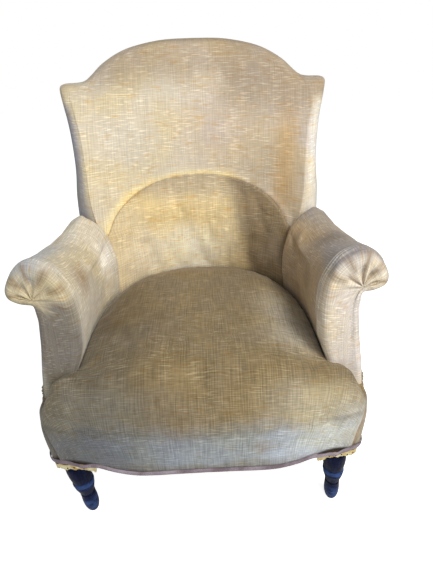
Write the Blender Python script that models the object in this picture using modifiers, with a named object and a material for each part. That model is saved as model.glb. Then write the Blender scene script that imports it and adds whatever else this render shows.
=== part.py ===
# A sprung and stuffed armchair with a humped back, scrolled arms and turned front legs.
# Metres, +Z up. The chair faces -Y, and the origin is on the floor under its middle.
# Right means the side at +X. Most pieces are modelled on the right and mirrored to the left.

import math

import bmesh
import bpy
from mathutils import Matrix, Vector

# Driving dimensions

GAP = 0.0003  # running gap between pieces that touch

WELL_HALF_WIDTH = 0.250  # seat between the arms, half its width
WELL_MIDDLE_Y = -0.150  # where the well starts to round off towards the back
WELL_DEPTH = 0.333  # from there to the inside back
WELL_POWER = 2.3  # how square the rounding is

BASE_HALF_WIDTH = 0.343  # outline of the chair at the hem
BASE_MIDDLE_Y = -0.155  # where the sides begin to taper towards the back
BASE_FRONT = 0.172  # from there to the middle of the bowed front
FRONT_BOW = 0.030
FRONT_POWER = 12.0  # how square the front corners are
SIDE_TAPER = 0.022
SIDE_END_Y = 0.236  # where the sides turn into the rear corners
REAR_Y = 0.285
REAR_BOW = 0.020
REAR_CORNER_X = 0.304

HEM_FRONT = (  # height of the serpentine hem against the distance from the middle
    (0.0, 0.194), (0.06, 0.192), (0.11, 0.188), (0.150, 0.187), (0.190, 0.194), (0.219, 0.204), (0.245, 0.213),
    (0.262, 0.216), (0.285, 0.213), (0.305, 0.207), (0.338, 0.200),
)
HEM_REAR_Z = 0.199
RAIL_HEIGHT = 0.062
RAIL_THICK = 0.026
RAIL_Z = 0.2045  # underside of the side and back rails
SKIRT = 0.010  # padding over the front rail

ARM_FRONT_Y = -0.250  # front face of the arms at seat height
ARM_FRONT_RAKE = 0.10
JOINT_Y = 0.055  # where the arms meet the back, at seat height
JOINT_RAKE = 0.12
SEAT_EDGE_Z = 0.410
SEAT_TUCK_Z = 0.318  # where the seat pad ends down the side of the well
SEAT_UNDER_Z = 0.338
SEAT_CROWN = 0.030
SEAT_BULGE = 0.012

ARCH_HALF_WIDTH = 0.222  # arched seam of the lumbar pad
ARCH_BASE_Z = 0.550
ARCH_RISE = 0.126
ARCH_GAP = 0.0006
CREASE = 0.010  # how deep the arched seam is pulled in

WEB_Y = 0.232  # plane of the back webbing at the height of the tie rail
WEB_Z = 0.400
WEB_RAKE = 0.098
STRAP = 0.0022

LEG_TOP_Z = 0.2042
LEG_X = (0.286, -0.296)  # the frame has racked a little, so the legs aren't quite a mirrored pair
LEG_Y = -0.2700
LEG_LEAN = 0.012  # and both lean the same way

POST_WIDE = 0.036
POST_INNER_X = 0.252
POST_KICK = 0.080  # how far the back feet are raked behind the posts
CREST_Z = 0.852  # top of the posts, where the crest rail sits
BOARD = 0.024

SPRING_WIRE = 0.0020
SPRING_TURNS = 4
SPRING_STEPS = 8
SPRING_END_R = 0.042
SPRING_WAIST_R = 0.027
WEBBING_Z = 0.2042
COVER_TOP_Z = 0.5440  # top of the outside arm covers, under the roll

PLEAT_DEPTH = 0.0030
BRAID_WIDTH = 0.012
BRAID_THICK = 0.0026
CLOTH = 0.003


# Curves and tables


def between(a, b, t):
    return a + (b - a) * t


def ease(t):
    t = max(0.0, min(1.0, t))
    return t * t * (3.0 - 2.0 * t)


def table(x, rows):
    """Smooth curve through rows of (x, value), held flat beyond its ends."""
    if x <= rows[0][0]:
        return rows[0][1]
    if x >= rows[-1][0]:
        return rows[-1][1]
    slopes = []
    for i in range(len(rows)):
        before, after = rows[max(i - 1, 0)], rows[min(i + 1, len(rows) - 1)]
        slopes.append((after[1] - before[1]) / (after[0] - before[0]))
    i = next(k for k in range(len(rows) - 1) if x <= rows[k + 1][0])
    width = rows[i + 1][0] - rows[i][0]
    t = (x - rows[i][0]) / width
    return (
        rows[i][1] * (2 * t**3 - 3 * t**2 + 1)
        + slopes[i] * width * (t**3 - 2 * t**2 + t)
        + rows[i + 1][1] * (3 * t**2 - 2 * t**3)
        + slopes[i + 1] * width * (t**3 - t**2)
    )


def spline(points, steps):
    """Open Catmull-Rom curve through the points, with steps stretches between each pair."""
    padded = [points[0], *points, points[-1]]
    found = []
    for a, b, c, d in zip(padded, padded[1:], padded[2:], padded[3:]):
        for k in range(steps):
            t = k / steps
            found.append(
                tuple(
                    0.5 * (2 * q + (r - p) * t + (2 * p - 5 * q + 4 * r - s) * t**2 + (3 * q - p - 3 * r + s) * t**3)
                    for p, q, r, s in zip(a, b, c, d)
                )
            )
    return [*found, tuple(points[-1])]


# Mesh helpers


def material(name, colour, roughness, metallic=0.0):
    made = bpy.data.materials.new(name)
    made.use_nodes = True
    shader = made.node_tree.nodes["Principled BSDF"]
    shader.inputs["Base Color"].default_value = (*colour, 1.0)
    shader.inputs["Roughness"].default_value = roughness
    shader.inputs["Metallic"].default_value = metallic
    return made


def add(name, mesh, finish):
    piece = bpy.data.objects.new(name, mesh)
    bpy.data.collections["armchair"].objects.link(piece)
    piece.data.materials.clear()
    piece.data.materials.append(finish)
    return piece


def finished(shape, name, finish, smooth=True):
    """Turns a bmesh into a named object whose faces point outwards."""
    bmesh.ops.recalc_face_normals(shape, faces=shape.faces)
    mesh = bpy.data.meshes.new(name)
    shape.to_mesh(mesh)
    shape.free()
    if smooth:
        mesh.shade_smooth()
        mesh.set_sharp_from_angle(angle=math.radians(40))
    return add(name, mesh, finish)


def loft(name, rings, finish, cap="fan", closed=False, smooth=True, fold=None):
    """Skin over rings of equally many points. A flat end can be folded along a line of two points."""
    shape = bmesh.new()
    made = [[shape.verts.new(p) for p in ring] for ring in rings]
    count = len(rings[0])
    pairs = list(zip(made, made[1:]))
    if closed:
        pairs.append((made[-1], made[0]))
    for low, high in pairs:
        for i in range(count):
            k = (i + 1) % count
            shape.faces.new((low[i], low[k], high[k], high[i]))
    if not closed:
        for ring in (made[0], made[-1]):
            if cap == "fan":
                middle = sum((v.co for v in ring), Vector()) / count
                hub = shape.verts.new(middle)
                for i in range(count):
                    shape.faces.new((ring[i], ring[(i + 1) % count], hub))
            elif cap == "strip":
                half = count // 2
                for i in range(half - 1):
                    shape.faces.new((ring[i], ring[i + 1], ring[count - 2 - i], ring[count - 1 - i]))
            else:
                shape.faces.new(ring)
                if fold:
                    bmesh.ops.connect_verts(shape, verts=[ring[fold[0]], ring[fold[1]]])
    return finished(shape, name, finish, smooth)


def sheet(name, rows, thickness, finish):
    """An open surface of rows of points, given its thickness inwards by Solidify."""
    shape = bmesh.new()
    made = [[shape.verts.new(p) for p in row] for row in rows]
    for low, high in zip(made, made[1:]):
        for i in range(len(low) - 1):
            shape.faces.new((low[i], low[i + 1], high[i + 1], high[i]))
    mesh = bpy.data.meshes.new(name)
    shape.to_mesh(mesh)
    shape.free()
    mesh.shade_smooth()
    piece = add(name, mesh, finish)
    wall = piece.modifiers.new("thickness", "SOLIDIFY")
    wall.thickness = thickness
    wall.offset = -1.0
    return piece


def mirrored(piece, name):
    """The left-hand twin of a right-hand piece."""
    mesh = piece.data.copy()
    mesh.transform(Matrix.Scale(-1.0, 4, (1.0, 0.0, 0.0)))
    mesh.flip_normals()
    twin = add(name, mesh, piece.data.materials[0])
    for source in piece.modifiers:
        copied = twin.modifiers.new(source.name, source.type)
        if source.type == "SOLIDIFY":
            copied.thickness = source.thickness
            copied.offset = source.offset
        if source.type == "BEVEL":
            copied.width = source.width
            copied.segments = source.segments
    return twin


def beam(name, sections, finish, bevel=0.0):
    """A wooden member from its end sections, each four corners in order."""
    piece = loft(name, sections, finish, cap="flat", smooth=False)
    if bevel:
        edge = piece.modifiers.new("edge", "BEVEL")
        edge.width = bevel
        edge.segments = 1
    return piece


def whole_ring(half):
    """A closed ring from the right half's points, which start and end on the middle plane."""
    return [*half, *[(-p[0], *p[1:]) for p in reversed(half[1:-1])]]


# The chair's outlines in plan and in height


def well_y(x):
    """Inside back at seat height: a rounded well between the arms."""
    share = min(1.0, abs(x) / WELL_HALF_WIDTH)
    return WELL_MIDDLE_Y + WELL_DEPTH * (1.0 - share**WELL_POWER) ** (1.0 / WELL_POWER)


def well_x(y):
    share = max(0.0, min(1.0, (y - WELL_MIDDLE_Y) / WELL_DEPTH))
    return WELL_HALF_WIDTH * (1.0 - share**WELL_POWER) ** (1.0 / WELL_POWER)


def front_y(x, inset=0.0):
    """Bowed front of the hem outline, with rounded corners."""
    share = min(1.0, abs(x) / (BASE_HALF_WIDTH - inset))
    reach = BASE_FRONT - inset - FRONT_BOW * share**2
    return BASE_MIDDLE_Y - reach * (1.0 - share**FRONT_POWER) ** (1.0 / FRONT_POWER)


def base_x(y, inset=0.0):
    """Half width of the hem outline at y, moved inwards by inset."""
    if y >= BASE_MIDDLE_Y:
        share = (y - BASE_MIDDLE_Y) / (SIDE_END_Y - BASE_MIDDLE_Y)
        return BASE_HALF_WIDTH - inset - SIDE_TAPER * share**2
    low, high = 0.0, BASE_HALF_WIDTH - inset
    for _ in range(30):
        middle = (low + high) / 2
        low, high = (middle, high) if front_y(middle, inset) < y else (low, middle)
    return low


FRONT_X = (0.0, 0.050, 0.100, 0.140, 0.175, 0.205, 0.235, 0.262, 0.285, 0.303, 0.318, 0.328, 0.335, 0.339)


def front_half():
    """Front of the hem outline, from the middle to the right arm."""
    return [(x, front_y(x)) for x in FRONT_X]


def side_half():
    """Side of the hem outline, from behind the arm's front to the rear corner and round it."""
    start = ARM_FRONT_Y + 0.0275
    side = [(base_x(y), y) for y in (between(start, SIDE_END_Y, k / 9) for k in range(10))]
    turn = (REAR_CORNER_X + 0.013, 0.263)
    end = (REAR_CORNER_X, REAR_Y - REAR_BOW * (REAR_CORNER_X / 0.30) ** 2)
    for t in (0.35, 0.65, 1.0):
        side.append(tuple((1 - t) ** 2 * p + 2 * t * (1 - t) * q + t * t * r for p, q, r in zip(side[9], turn, end)))
    return side


def rear_half():
    """Rear of the hem outline, from the corner to the middle."""
    return [(x, REAR_Y - REAR_BOW * (x / 0.30) ** 2) for x in (REAR_CORNER_X * (1 - k / 8) for k in range(1, 9))]


def grown(ring, distance):
    """A closed plan ring moved outwards by distance, square to its own edges."""
    count = len(ring)
    moved = []
    for i in range(count):
        a, b, c = Vector(ring[i - 1]), Vector(ring[i]), Vector(ring[(i + 1) % count])
        first, second = (b - a).normalized(), (c - b).normalized()
        bend = Vector((first.y + second.y, -(first.x + second.x)))
        bend = bend / max(0.5, bend.dot(Vector((first.y, -first.x))))
        moved.append((b.x + bend.x * distance, b.y + bend.y * distance))
    return moved


def hem_z(x, y):
    """Height of the hem: serpentine along the front, level at the sides and back."""
    return between(table(abs(x), HEM_FRONT), HEM_REAR_Z, ease((y + 0.262) / 0.05))


def joint_y(z):
    return JOINT_Y + JOINT_RAKE * max(0.0, z - SEAT_EDGE_Z)


def arm_front_y(z):
    return ARM_FRONT_Y + ARM_FRONT_RAKE * max(0.0, z - SEAT_EDGE_Z)


def web_y(z):
    return WEB_Y + WEB_RAKE * (z - WEB_Z)


def side_x(y, z):
    """Outside of the arms: upright at the back, leaning in under the roll towards the front."""
    lean = table(z, ((0.19, 0.0), (0.30, 0.003), (0.35, 0.009), (0.394, 0.018), (0.43, 0.025), (0.49, 0.035), (0.54, 0.040)))
    return base_x(y) - lean * between(1.0, 0.25, ease((y + 0.12) / 0.26))


def rear_rake(z):
    return table(z, ((0.19, 0.0), (0.45, 0.004), (0.70, 0.030), (0.97, 0.066)))


def rear_y(x, z):
    """The outside back: a raked panel, gently bowed from side to side."""
    return REAR_Y + rear_rake(z) - REAR_BOW * (abs(x) / 0.30) ** 2


def back_centre_y(z):
    """Front of the back pad on the middle plane."""
    return table(z, ((0.62, 0.176), (0.70, 0.188), (0.78, 0.209), (0.86, 0.240), (0.92, 0.265), (0.97, 0.292)))


def wing_y(z):
    """Front ridge of the wings."""
    return table(z, ((0.56, 0.076), (0.635, 0.096), (0.71, 0.132), (0.795, 0.182), (0.87, 0.238), (0.98, 0.295)))


def wing_x(z):
    return table(z, ((0.56, 0.243), (0.635, 0.261), (0.71, 0.269), (0.795, 0.281), (0.87, 0.305)))


def back_front_y(x, z):
    """Front surface of the upper back: flat in the middle, curling forward into shallow wings."""
    centre = back_centre_y(z)
    curl = centre - wing_y(z)
    return max(centre - curl * min(1.1, abs(x) / wing_x(z)) ** 2.6, joint_y(z) + GAP)


def lumbar_front_y(x, z):
    """Front surface of the lumbar pad: the well's curve at the seat, swelling forward above it."""
    upper = 0.163 - 0.088 * (abs(x) / 0.245) ** 2.4
    rise = ease((z - SEAT_EDGE_Z) / (ARCH_BASE_Z - SEAT_EDGE_Z))
    swell = 0.012 * math.sin(math.pi * max(0.0, min(1.0, (z - SEAT_EDGE_Z) / 0.25)))
    lean = 0.045 * max(0.0, z - ARCH_BASE_Z)
    y = between(well_y(x) + GAP, upper, rise) - swell + lean
    return max(y, joint_y(z) + GAP) if z > SEAT_EDGE_Z else max(well_y(x) + GAP, joint_y(z) + GAP)


# The arm's section, from the bottom of its inner face, over the roll and down to the tuck.
# The first number of each pair on the inner face is measured from the well's side.

INNER_FRONT = ((0.0, SEAT_TUCK_Z), (0.0, SEAT_EDGE_Z), (-0.012, 0.447), (-0.018, 0.497), (-0.018, 0.545))
INNER_REAR = ((0.0, SEAT_TUCK_Z), (0.0, SEAT_EDGE_Z), (-0.003, 0.455), (-0.005, 0.497), (0.004, 0.540))
ROLL_FRONT = (
    (0.239, 0.590), (0.262, 0.624), (0.303, 0.642), (0.332, 0.623), (0.350, 0.593), (0.348, 0.573), (0.329, 0.561),
    (0.306, 0.557),
)
ROLL_REAR = (
    (0.226, 0.572), (0.250, 0.603), (0.281, 0.617), (0.306, 0.606), (0.318, 0.580), (0.312, 0.559), (0.300, 0.552),
    (0.291, 0.548),
)
FACE_SIDE_Z = (0.525, 0.470, SEAT_EDGE_Z, SEAT_TUCK_Z)
PAD_BACK_X = 0.278  # where the stuffing of the inside arm ends, at the front
PAD_BACK_REAR_X = 0.268
ROLL_SAG = ((0.0, 0.0), (0.25, 0.016), (0.62, 0.024), (0.85, 0.014), (1.0, 0.0))  # dip of the roll along the arm
ROLL_SPREAD = ((0.0, 0.0), (0.25, 0.008), (0.62, 0.018), (0.85, 0.012), (1.0, 0.0))


def arm_section(t, with_side, inset=0.0):
    """Ring of (x, z) at share t of the way from the front of the arm to the back."""
    y = between(ARM_FRONT_Y + ARM_CAP, JOINT_Y, t)
    wall = well_x(y) + GAP
    drift = ease(t)
    inner = [
        (wall + between(f[0], r[0], drift), between(f[1], r[1], drift)) for f, r in zip(INNER_FRONT, INNER_REAR)
    ]
    roll = []
    for k, (f, r) in enumerate(zip(ROLL_FRONT, ROLL_REAR)):
        over = math.sin(math.pi * min(1.0, (k + 0.6) / 4.0) / 2)
        x = between(f[0], r[0], drift) + table(t, ROLL_SPREAD) * over
        roll.append((x, between(f[1], r[1], drift) - table(t, ROLL_SAG) * min(1.0, max(0.0, (7 - k) / 3))))
    curve = [inner[0], *spline([*inner[1:], *roll], 2)]
    back_x = between(PAD_BACK_X, PAD_BACK_REAR_X, drift)
    if with_side:
        side = [(side_x(y, z) - GAP, z) for z in FACE_SIDE_Z]
    else:
        side = [(back_x, COVER_TOP_Z + 0.0012), (back_x, 0.47), (back_x, SEAT_EDGE_Z), (back_x, SEAT_TUCK_Z)]
    ring = [*curve, *side]
    if not inset:
        return ring
    count = len(ring)
    moved = []
    for i, (x, z) in enumerate(ring):
        (xa, za), (xb, zb) = ring[i - 1], ring[(i + 1) % count]
        dx, dz = xb - xa, zb - za
        size = math.hypot(dx, dz) or 1.0
        low_edge = z <= SEAT_EDGE_Z + 1e-6
        moved.append((x + inset * dz / size, z if low_edge else z - inset * dx / size))
    return moved


ARM_STATIONS = 8
ARM_CAP = 0.024  # full-width front of the arm, over the arm post


def well_points():
    """Vertices of the well's curve, shared by the pads that meet along it."""
    side = [between(ARM_FRONT_Y + ARM_CAP, JOINT_Y, k / ARM_STATIONS) for k in range(ARM_STATIONS + 1)]
    found = [(well_x(y), y) for y in side]
    last = found[-1][0]
    for share in (0.87, 0.73, 0.58, 0.42, 0.22, 0.0):
        found.append((last * share, well_y(last * share)))
    return found


def arm_pad(finish):
    """Inside arm, roll and pleated front in one stuffed piece."""
    knot = Vector((0.303, 0.571))
    roll_from, roll_to = 7, 23
    rings = []
    start = arm_section(0.0, True)
    plain = arm_section(0.0, True, 0.004)
    small = arm_section(0.0, True, 0.012)

    def face_ring(shrink, depth):
        ring = []
        for i, (x, z) in enumerate(small):
            on_roll = roll_from <= i <= roll_to
            target = knot if on_roll else Vector((between(x, 0.284, 0.8), z if z < 0.5 else between(z, 0.5, 0.2)))
            here = Vector((x, z)).lerp(target, shrink)
            fold = 0.0
            if on_roll:
                fold = PLEAT_DEPTH * (-1) ** i * math.sin(math.pi * min(1.0, shrink + 0.3))
            lift = depth - 0.003 + fold if here.y > SEAT_EDGE_Z + 0.016 else 0.0
            ring.append((here.x, arm_front_y(here.y) + lift, here.y))
        return ring

    rings.append(face_ring(0.82, 0.005))
    rings.append(face_ring(0.45, 0.0035))
    rings.append(face_ring(0.0, 0.0035))
    rings.append([(x, arm_front_y(z) + 0.006, z) for x, z in plain])
    rings.append([(x, arm_front_y(z) + 0.014, z) for x, z in start])
    rings.append([(x, arm_front_y(z) + ARM_CAP - 0.0005, z) for x, z in start])
    for k in range(ARM_STATIONS + 1):
        t = k / ARM_STATIONS
        rings.append([(x, between(arm_front_y(z) + ARM_CAP, joint_y(z), t), z) for x, z in arm_section(t, False)])
    return loft("arm_pad_right", rings, finish, cap="flat", fold=(1, -2))


# The seat


def seat_half():
    """Right half of the seat's plan outline: front bow, corner, step at the arm, well."""
    step_y = ARM_FRONT_Y - GAP
    found = [(x, y, 1.0) for x, y in front_half() if y < step_y - 0.004]
    found.append((base_x(step_y), step_y, 0.5))
    found.append((WELL_HALF_WIDTH, step_y, 0.0))
    return [*found, *[(x, y, 0.0) for x, y in well_points()]]


def seat_ring(offset, free_z, well_z, shrink=0.0, rise=0.0, well_offset=0.0, waist=0.0):
    """A ring of the seat pad: the free front is moved out by offset, the well by well_offset."""
    half = []
    cheek = -0.003 if well_offset < 0.0 else 0.0
    for x, y, free in seat_half():
        if free == 1.0:
            share = x / BASE_HALF_WIDTH
            normal = Vector((share**5, -1.0 + share**9 * 0.75)).normalized() * offset
            normal.x = normal.x * (0.2 if offset > 0.0 else 1.0) - waist * share**5
        elif free == 0.5:
            normal = Vector((offset * (0.2 if offset > 0.0 else 1.0) - waist, cheek))
        else:
            share = max(0.0, (y - WELL_MIDDLE_Y) / WELL_DEPTH)
            normal = Vector((1.0 - share**3, share**2)).normalized() * well_offset
            if y == ARM_FRONT_Y - GAP:
                normal.y = cheek
        z = free_z(x, y) if free else well_z
        if free:
            target = Vector((0.14 * x, max(-0.275, min(-0.245, y))))
        else:
            target = Vector((0.30 * x, max(-0.225, min(0.05, y))))
        spot = Vector((x + normal.x, y + normal.y)).lerp(target, shrink)
        if rise and y == ARM_FRONT_Y - GAP:
            spot.y -= 0.005 * (1.0 - shrink)
        half.append((spot.x, spot.y, z + rise))
    half[0] = (0.0, *half[0][1:])
    half[-1] = (0.0, *half[-1][1:])
    return whole_ring(half)


def seat_pad(finish):
    """Sprung seat: a domed pad with a rolled front that falls to the serpentine hem."""
    level = lambda z: (lambda x, y: z)
    hem = lambda x, y: hem_z(x, y)
    edge = SEAT_EDGE_Z
    under = SEAT_UNDER_Z
    rings = [
        seat_ring(-SKIRT, level(under), under, shrink=0.60, well_offset=-0.012),
        seat_ring(-SKIRT - 0.006, level(under), under, well_offset=-0.014),
        seat_ring(-SKIRT, level(0.275), SEAT_TUCK_Z + 0.006, well_offset=-0.012),
        seat_ring(-SKIRT, lambda x, y: hem_z(x, y) + 0.001, SEAT_TUCK_Z, well_offset=-0.010),
        seat_ring(0.0, hem, SEAT_TUCK_Z),
        seat_ring(0.0, lambda x, y: hem_z(x, y) + 0.016, 0.330),
        seat_ring(0.003, level(0.262), 0.345),
        seat_ring(SEAT_BULGE * 0.85, level(0.305), 0.360),
        seat_ring(SEAT_BULGE, level(0.340), 0.378, waist=0.004),
        seat_ring(SEAT_BULGE * 0.25, level(0.372), 0.396, waist=0.012),
        seat_ring(-0.020, level(0.396), edge - 0.004),
        seat_ring(-0.040, level(0.408), edge, shrink=0.04, rise=0.004),
        seat_ring(-0.040, level(edge), edge, shrink=0.22, rise=SEAT_CROWN * 0.50),
        seat_ring(-0.040, level(edge), edge, shrink=0.50, rise=SEAT_CROWN * 0.85),
        seat_ring(-0.040, level(edge), edge, shrink=0.80, rise=SEAT_CROWN),
    ]
    return loft("seat_pad", rings, finish, cap="fan")


# The back


def arch_point(angle, grow=0.0):
    """The arched seam: angle 90 is its top and 0 its right foot, in degrees."""
    c, s = math.cos(math.radians(angle)), math.sin(math.radians(angle))
    return (ARCH_HALF_WIDTH + grow) * c, ARCH_BASE_Z + (ARCH_RISE + grow) * s


ARCH_ANGLES = (90, 80, 70, 60, 50, 41, 32, 24, 16, 9)

# Outline of the back seen from the front, right half: outer edge, then the front ridge inside it.
BACK_OUTER = (
    (0.3190, 0.5455), (0.3155, 0.635), (0.3105, 0.705), (0.317, 0.790), (0.3335, 0.875), (0.326, 0.887), (0.298, 0.888),
    (0.272, 0.892), (0.251, 0.907), (0.226, 0.928), (0.182, 0.952), (0.136, 0.966), (0.072, 0.976), (0.0, 0.978),
)
BACK_RIDGE = (
    (0.2445, 0.5620), (0.261, 0.635), (0.269, 0.710), (0.281, 0.790), (0.303, 0.862), (0.297, 0.873), (0.276, 0.876),
    (0.254, 0.880), (0.233, 0.892), (0.208, 0.910), (0.167, 0.932), (0.124, 0.947), (0.066, 0.958), (0.0, 0.961),
)
BORDER = 0.012  # cover and wadding over the frame's edges
BACK_CENTRE_Z = 0.800


def back_edges():
    """Matched points of the right half: along the arch, along the ridge and along the outer edge."""
    pairs = spline([(*r, *o) for r, o in zip(BACK_RIDGE, BACK_OUTER)], 2)
    kept = [p for i, p in enumerate(pairs) if i % 2 == 0 or math.dist(pairs[i - 1][2:], pairs[i + 1][2:]) > 0.050]
    kept.reverse()
    last = len(kept) - 1
    arch = [arch_point(between(90.0, ARCH_ANGLES[-1], k / (last - 1)), ARCH_GAP) for k in range(last)]
    arch.append((0.2330, 0.5660))
    arch[0] = (0.0, arch[0][1])
    return arch, [p[:2] for p in kept], [p[2:] for p in kept]


def back_pad(finish):
    """Upper inside back with its wings, pulled over the edges of the frame."""
    arch, ridge, outer = back_edges()
    shape = bmesh.new()
    rows = []
    for v in (0.0, 0.06, 0.30, 0.55, 0.80, 0.95, 1.0):
        half = [(between(a[0], r[0], v), between(a[1], r[1], v)) for a, r in zip(arch, ridge)]
        sink = CREASE if v == 0.0 else 0.002 if v == 0.06 else 0.005 if v == 1.0 else 0.0
        whole = [(-x, z) for x, z in reversed(half[1:])] + half
        rows.append([shape.verts.new((x, back_front_y(x, z) + sink, z)) for x, z in whole])
    for low, high in zip(rows, rows[1:]):
        for i in range(len(low) - 1):
            shape.faces.new((low[i], low[i + 1], high[i + 1], high[i]))

    def inward(x, z, by):
        away = Vector((x, z - BACK_CENTRE_Z))
        away -= away.normalized() * by
        return away.x, away.y + BACK_CENTRE_Z

    def rim(side_place, arch_place):
        """One ring of the border: along the arch from left to right, then back over the hump."""
        under = [arch_place(*a) for a in arch[:-1]]
        under.append(arch_place(0.2990, 0.5540))
        over = [side_place(r, o) for r, o in zip(ridge, outer)]
        left = [(-x, y, z) for x, y, z in reversed(under[1:])]
        back = [(-x, y, z) for x, y, z in over[1:]]
        return [shape.verts.new(p) for p in [*left, *under, *reversed(over), *back]]

    def side(share, depth):
        def place(r, o):
            x, z = between(r[0], o[0], share), between(r[1], o[1], share)
            return x, between(back_front_y(*r), rear_y(*o), depth), z

        return place

    def rear(by, face):
        def place(r, o):
            x, z = inward(*o, by)
            return x, face(x, z), z

        return place

    def under_arch(grow, face):
        def place(x, z):
            turn = math.atan2((z - ARCH_BASE_Z) / ARCH_RISE, x / ARCH_HALF_WIDTH)
            spot = (x + grow * math.cos(turn), z + grow * math.sin(turn))
            return spot[0], face(*spot), spot[1]

        return place

    cover = lambda x, z: rear_y(x, z) - CLOTH - GAP
    web = lambda back: (lambda x, z: web_y(z) - back)
    rims = [
        [*rows[0], *reversed(rows[-1])],
        rim(side(0.72, 0.22), under_arch(0.0, lambda x, z: between(back_front_y(x, z), web_y(z), 0.5))),
        rim(side(1.0, 0.50), under_arch(0.0, web(0.020))),
        rim(side(1.0, 0.80), under_arch(0.0, web(0.017))),
        rim(rear(0.004, cover), under_arch(0.0, web(0.014))),
        rim(rear(BORDER, cover), under_arch(0.002, web(0.008))),
        rim(rear(BORDER + 0.004, web(0.003)), under_arch(0.006, web(0.003))),
    ]
    for low, high in zip(rims, rims[1:]):
        for i in range(len(low)):
            k = (i + 1) % len(low)
            corners = [low[i], low[k], high[k], high[i]]
            if len(set(corners)) == 4:
                shape.faces.new(corners)
    shape.faces.new(rims[-1])
    bmesh.ops.holes_fill(shape, edges=shape.edges, sides=0)
    return finished(shape, "back_pad", finish)


LUMBAR_HALF_WIDTH = 0.243
LUMBAR_LOW = (SEAT_TUCK_Z + 0.014, 0.370, SEAT_EDGE_Z, 0.440, 0.475, 0.510, 0.540)


def lumbar_pad(finish):
    """Lower inside back, swelling forward under its arched seam."""
    levels = [(z, LUMBAR_HALF_WIDTH) for z in LUMBAR_LOW]
    for angle in reversed(ARCH_ANGLES[1:]):
        x, z = arch_point(angle)
        levels.append((z, x))
    x, z = arch_point(ARCH_ANGLES[1])
    levels.append((between(z, arch_point(90)[1], 0.45), x * 0.45))
    rings = []
    shares = [x / LUMBAR_HALF_WIDTH for x, y in well_points()[ARM_STATIONS:]]
    shares = [-1.0, *[-c for c in shares[:-1]], *reversed(shares), 1.0]
    for z, half_width in levels:
        front = []
        rear = []
        for share in shares:
            x = half_width * share
            y = lumbar_front_y(x, z)
            edge = max(0.0, 1.0 - (arch_distance(x, z)) / 0.018)
            y = y + CREASE * 0.8 * edge**2
            front.append((x, y, z))
            rear.append((x, web_y(z) - 0.003, z))
        rings.append([*front, *reversed(rear)])
    return loft("lumbar_pad", rings, finish, cap="strip")


def arch_distance(x, z):
    """Rough distance from a point of the lumbar pad to the arched seam above it."""
    if z <= ARCH_BASE_Z - 0.02:
        return 1.0
    up = max(0.0, z - ARCH_BASE_Z) / ARCH_RISE
    radius = math.hypot(x / ARCH_HALF_WIDTH, up)
    return max(0.0, 1.0 - radius) * ARCH_RISE


# Outside covers, braid and linings


def outside_arm(finish):
    """Cover stretched over the outside of the right arm and round the rear corner to the hem."""
    start = side_half()[0][1]
    rows = []
    for z in (HEM_REAR_Z + 0.0005, 0.255, 0.3155, 0.3172, 0.370, 0.430, 0.490, COVER_TOP_Z):
        first = ARM_FRONT_Y + GAP if z < 0.316 else arm_front_y(z) + 0.0275
        row = []
        for x, y in side_half():
            if y < SIDE_END_Y:
                share = (y - start) / (SIDE_END_Y - start)
                y = between(first, SIDE_END_Y, share)
                row.append((side_x(y, z), y + rear_rake(z) * ease((y - 0.10) / 0.14), z))
            else:
                lean = base_x(SIDE_END_Y) - side_x(SIDE_END_Y, z)
                row.append((x - lean, y + rear_rake(z), z))
        rows.append(row)
    return sheet("outside_arm_right", rows, CLOTH, finish)


def outside_back(finish):
    """Cover over the back of the frame, cut to the outline of the hump."""
    widths = ((0.19, 0.2995), (0.45, 0.2930), (0.544, 0.2930), (0.556, 0.309), (0.62, 0.309), (0.70, 0.304), (0.79, 0.310), (0.85, 0.320))
    rows = []
    for z in (0.1995, 0.27, 0.35, 0.44, 0.544, 0.556, 0.62, 0.70, 0.78, 0.84):
        half = table(z, widths)
        rows.append([(half * (k / 8 - 1), z) for k in range(17)])
    top = [(0.320 * (k / 8 - 1), crown_z(0.320 * (k / 8 - 1)) - 0.006) for k in range(17)]
    for share in (0.5, 1.0):
        rows.append([(between(a[0], b[0], share), between(a[1], b[1], share)) for a, b in zip(rows[9], top)])
    placed = [[(x, rear_y(x, z), z) for x, z in reversed(row)] for row in rows]
    return sheet("outside_back", placed, CLOTH - GAP, finish)


def crown_z(x):
    """Top of the back at x, from the outline of the hump and the shoulders."""
    rows = sorted((o[0], o[1]) for o in BACK_OUTER[5:])
    return table(abs(x), rows)


def base_half():
    """Right half of the whole hem outline, from the front's middle to the rear's middle."""
    return [*front_half(), (base_x(ARM_FRONT_Y), ARM_FRONT_Y), *side_half(), *rear_half()]


def base_braid(finish):
    """Woven braid round the hem, hanging clear of the cover where it has come away."""
    half = base_half()
    ring = [*half, *[(-x, y) for x, y in reversed(half[1:-1])]]
    inner, outer = grown(ring, GAP), grown(ring, GAP + BRAID_THICK)
    rings = []
    for (x, y), (ix, iy), (ox, oy) in zip(ring, inner, outer):
        z = hem_z(x, y) - 0.0015
        rings.append([(ix, iy, z), (ox, oy, z), (ox, oy, z + BRAID_WIDTH), (ix, iy, z + BRAID_WIDTH)])
    return loft("base_braid", rings, finish, closed=True, smooth=False)


def torn_lining(finish):
    """Ragged edge of the calico that shows under the braid above the right front leg."""
    rings = []
    for k in range(12):
        x = between(0.232, 0.334, (k / 11) ** 0.8)
        y = front_y(x, 0.0012)
        tear = 0.010 + 0.006 * math.sin(k * 2.3) + 0.003 * math.sin(k * 5.1)
        top = hem_z(x, y) - 0.0015
        rings.append([(x, y, top), (x - 0.0005, y + 0.0022, top), (x - 0.0005, y + 0.0022, top - tear), (x, y, top - tear)])
    return loft("torn_lining_right", rings, finish, cap="flat", smooth=False)


# The frame


FRONT_RAIL_HALF = 0.250
FRONT_INSET = SKIRT + 0.0022


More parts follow.
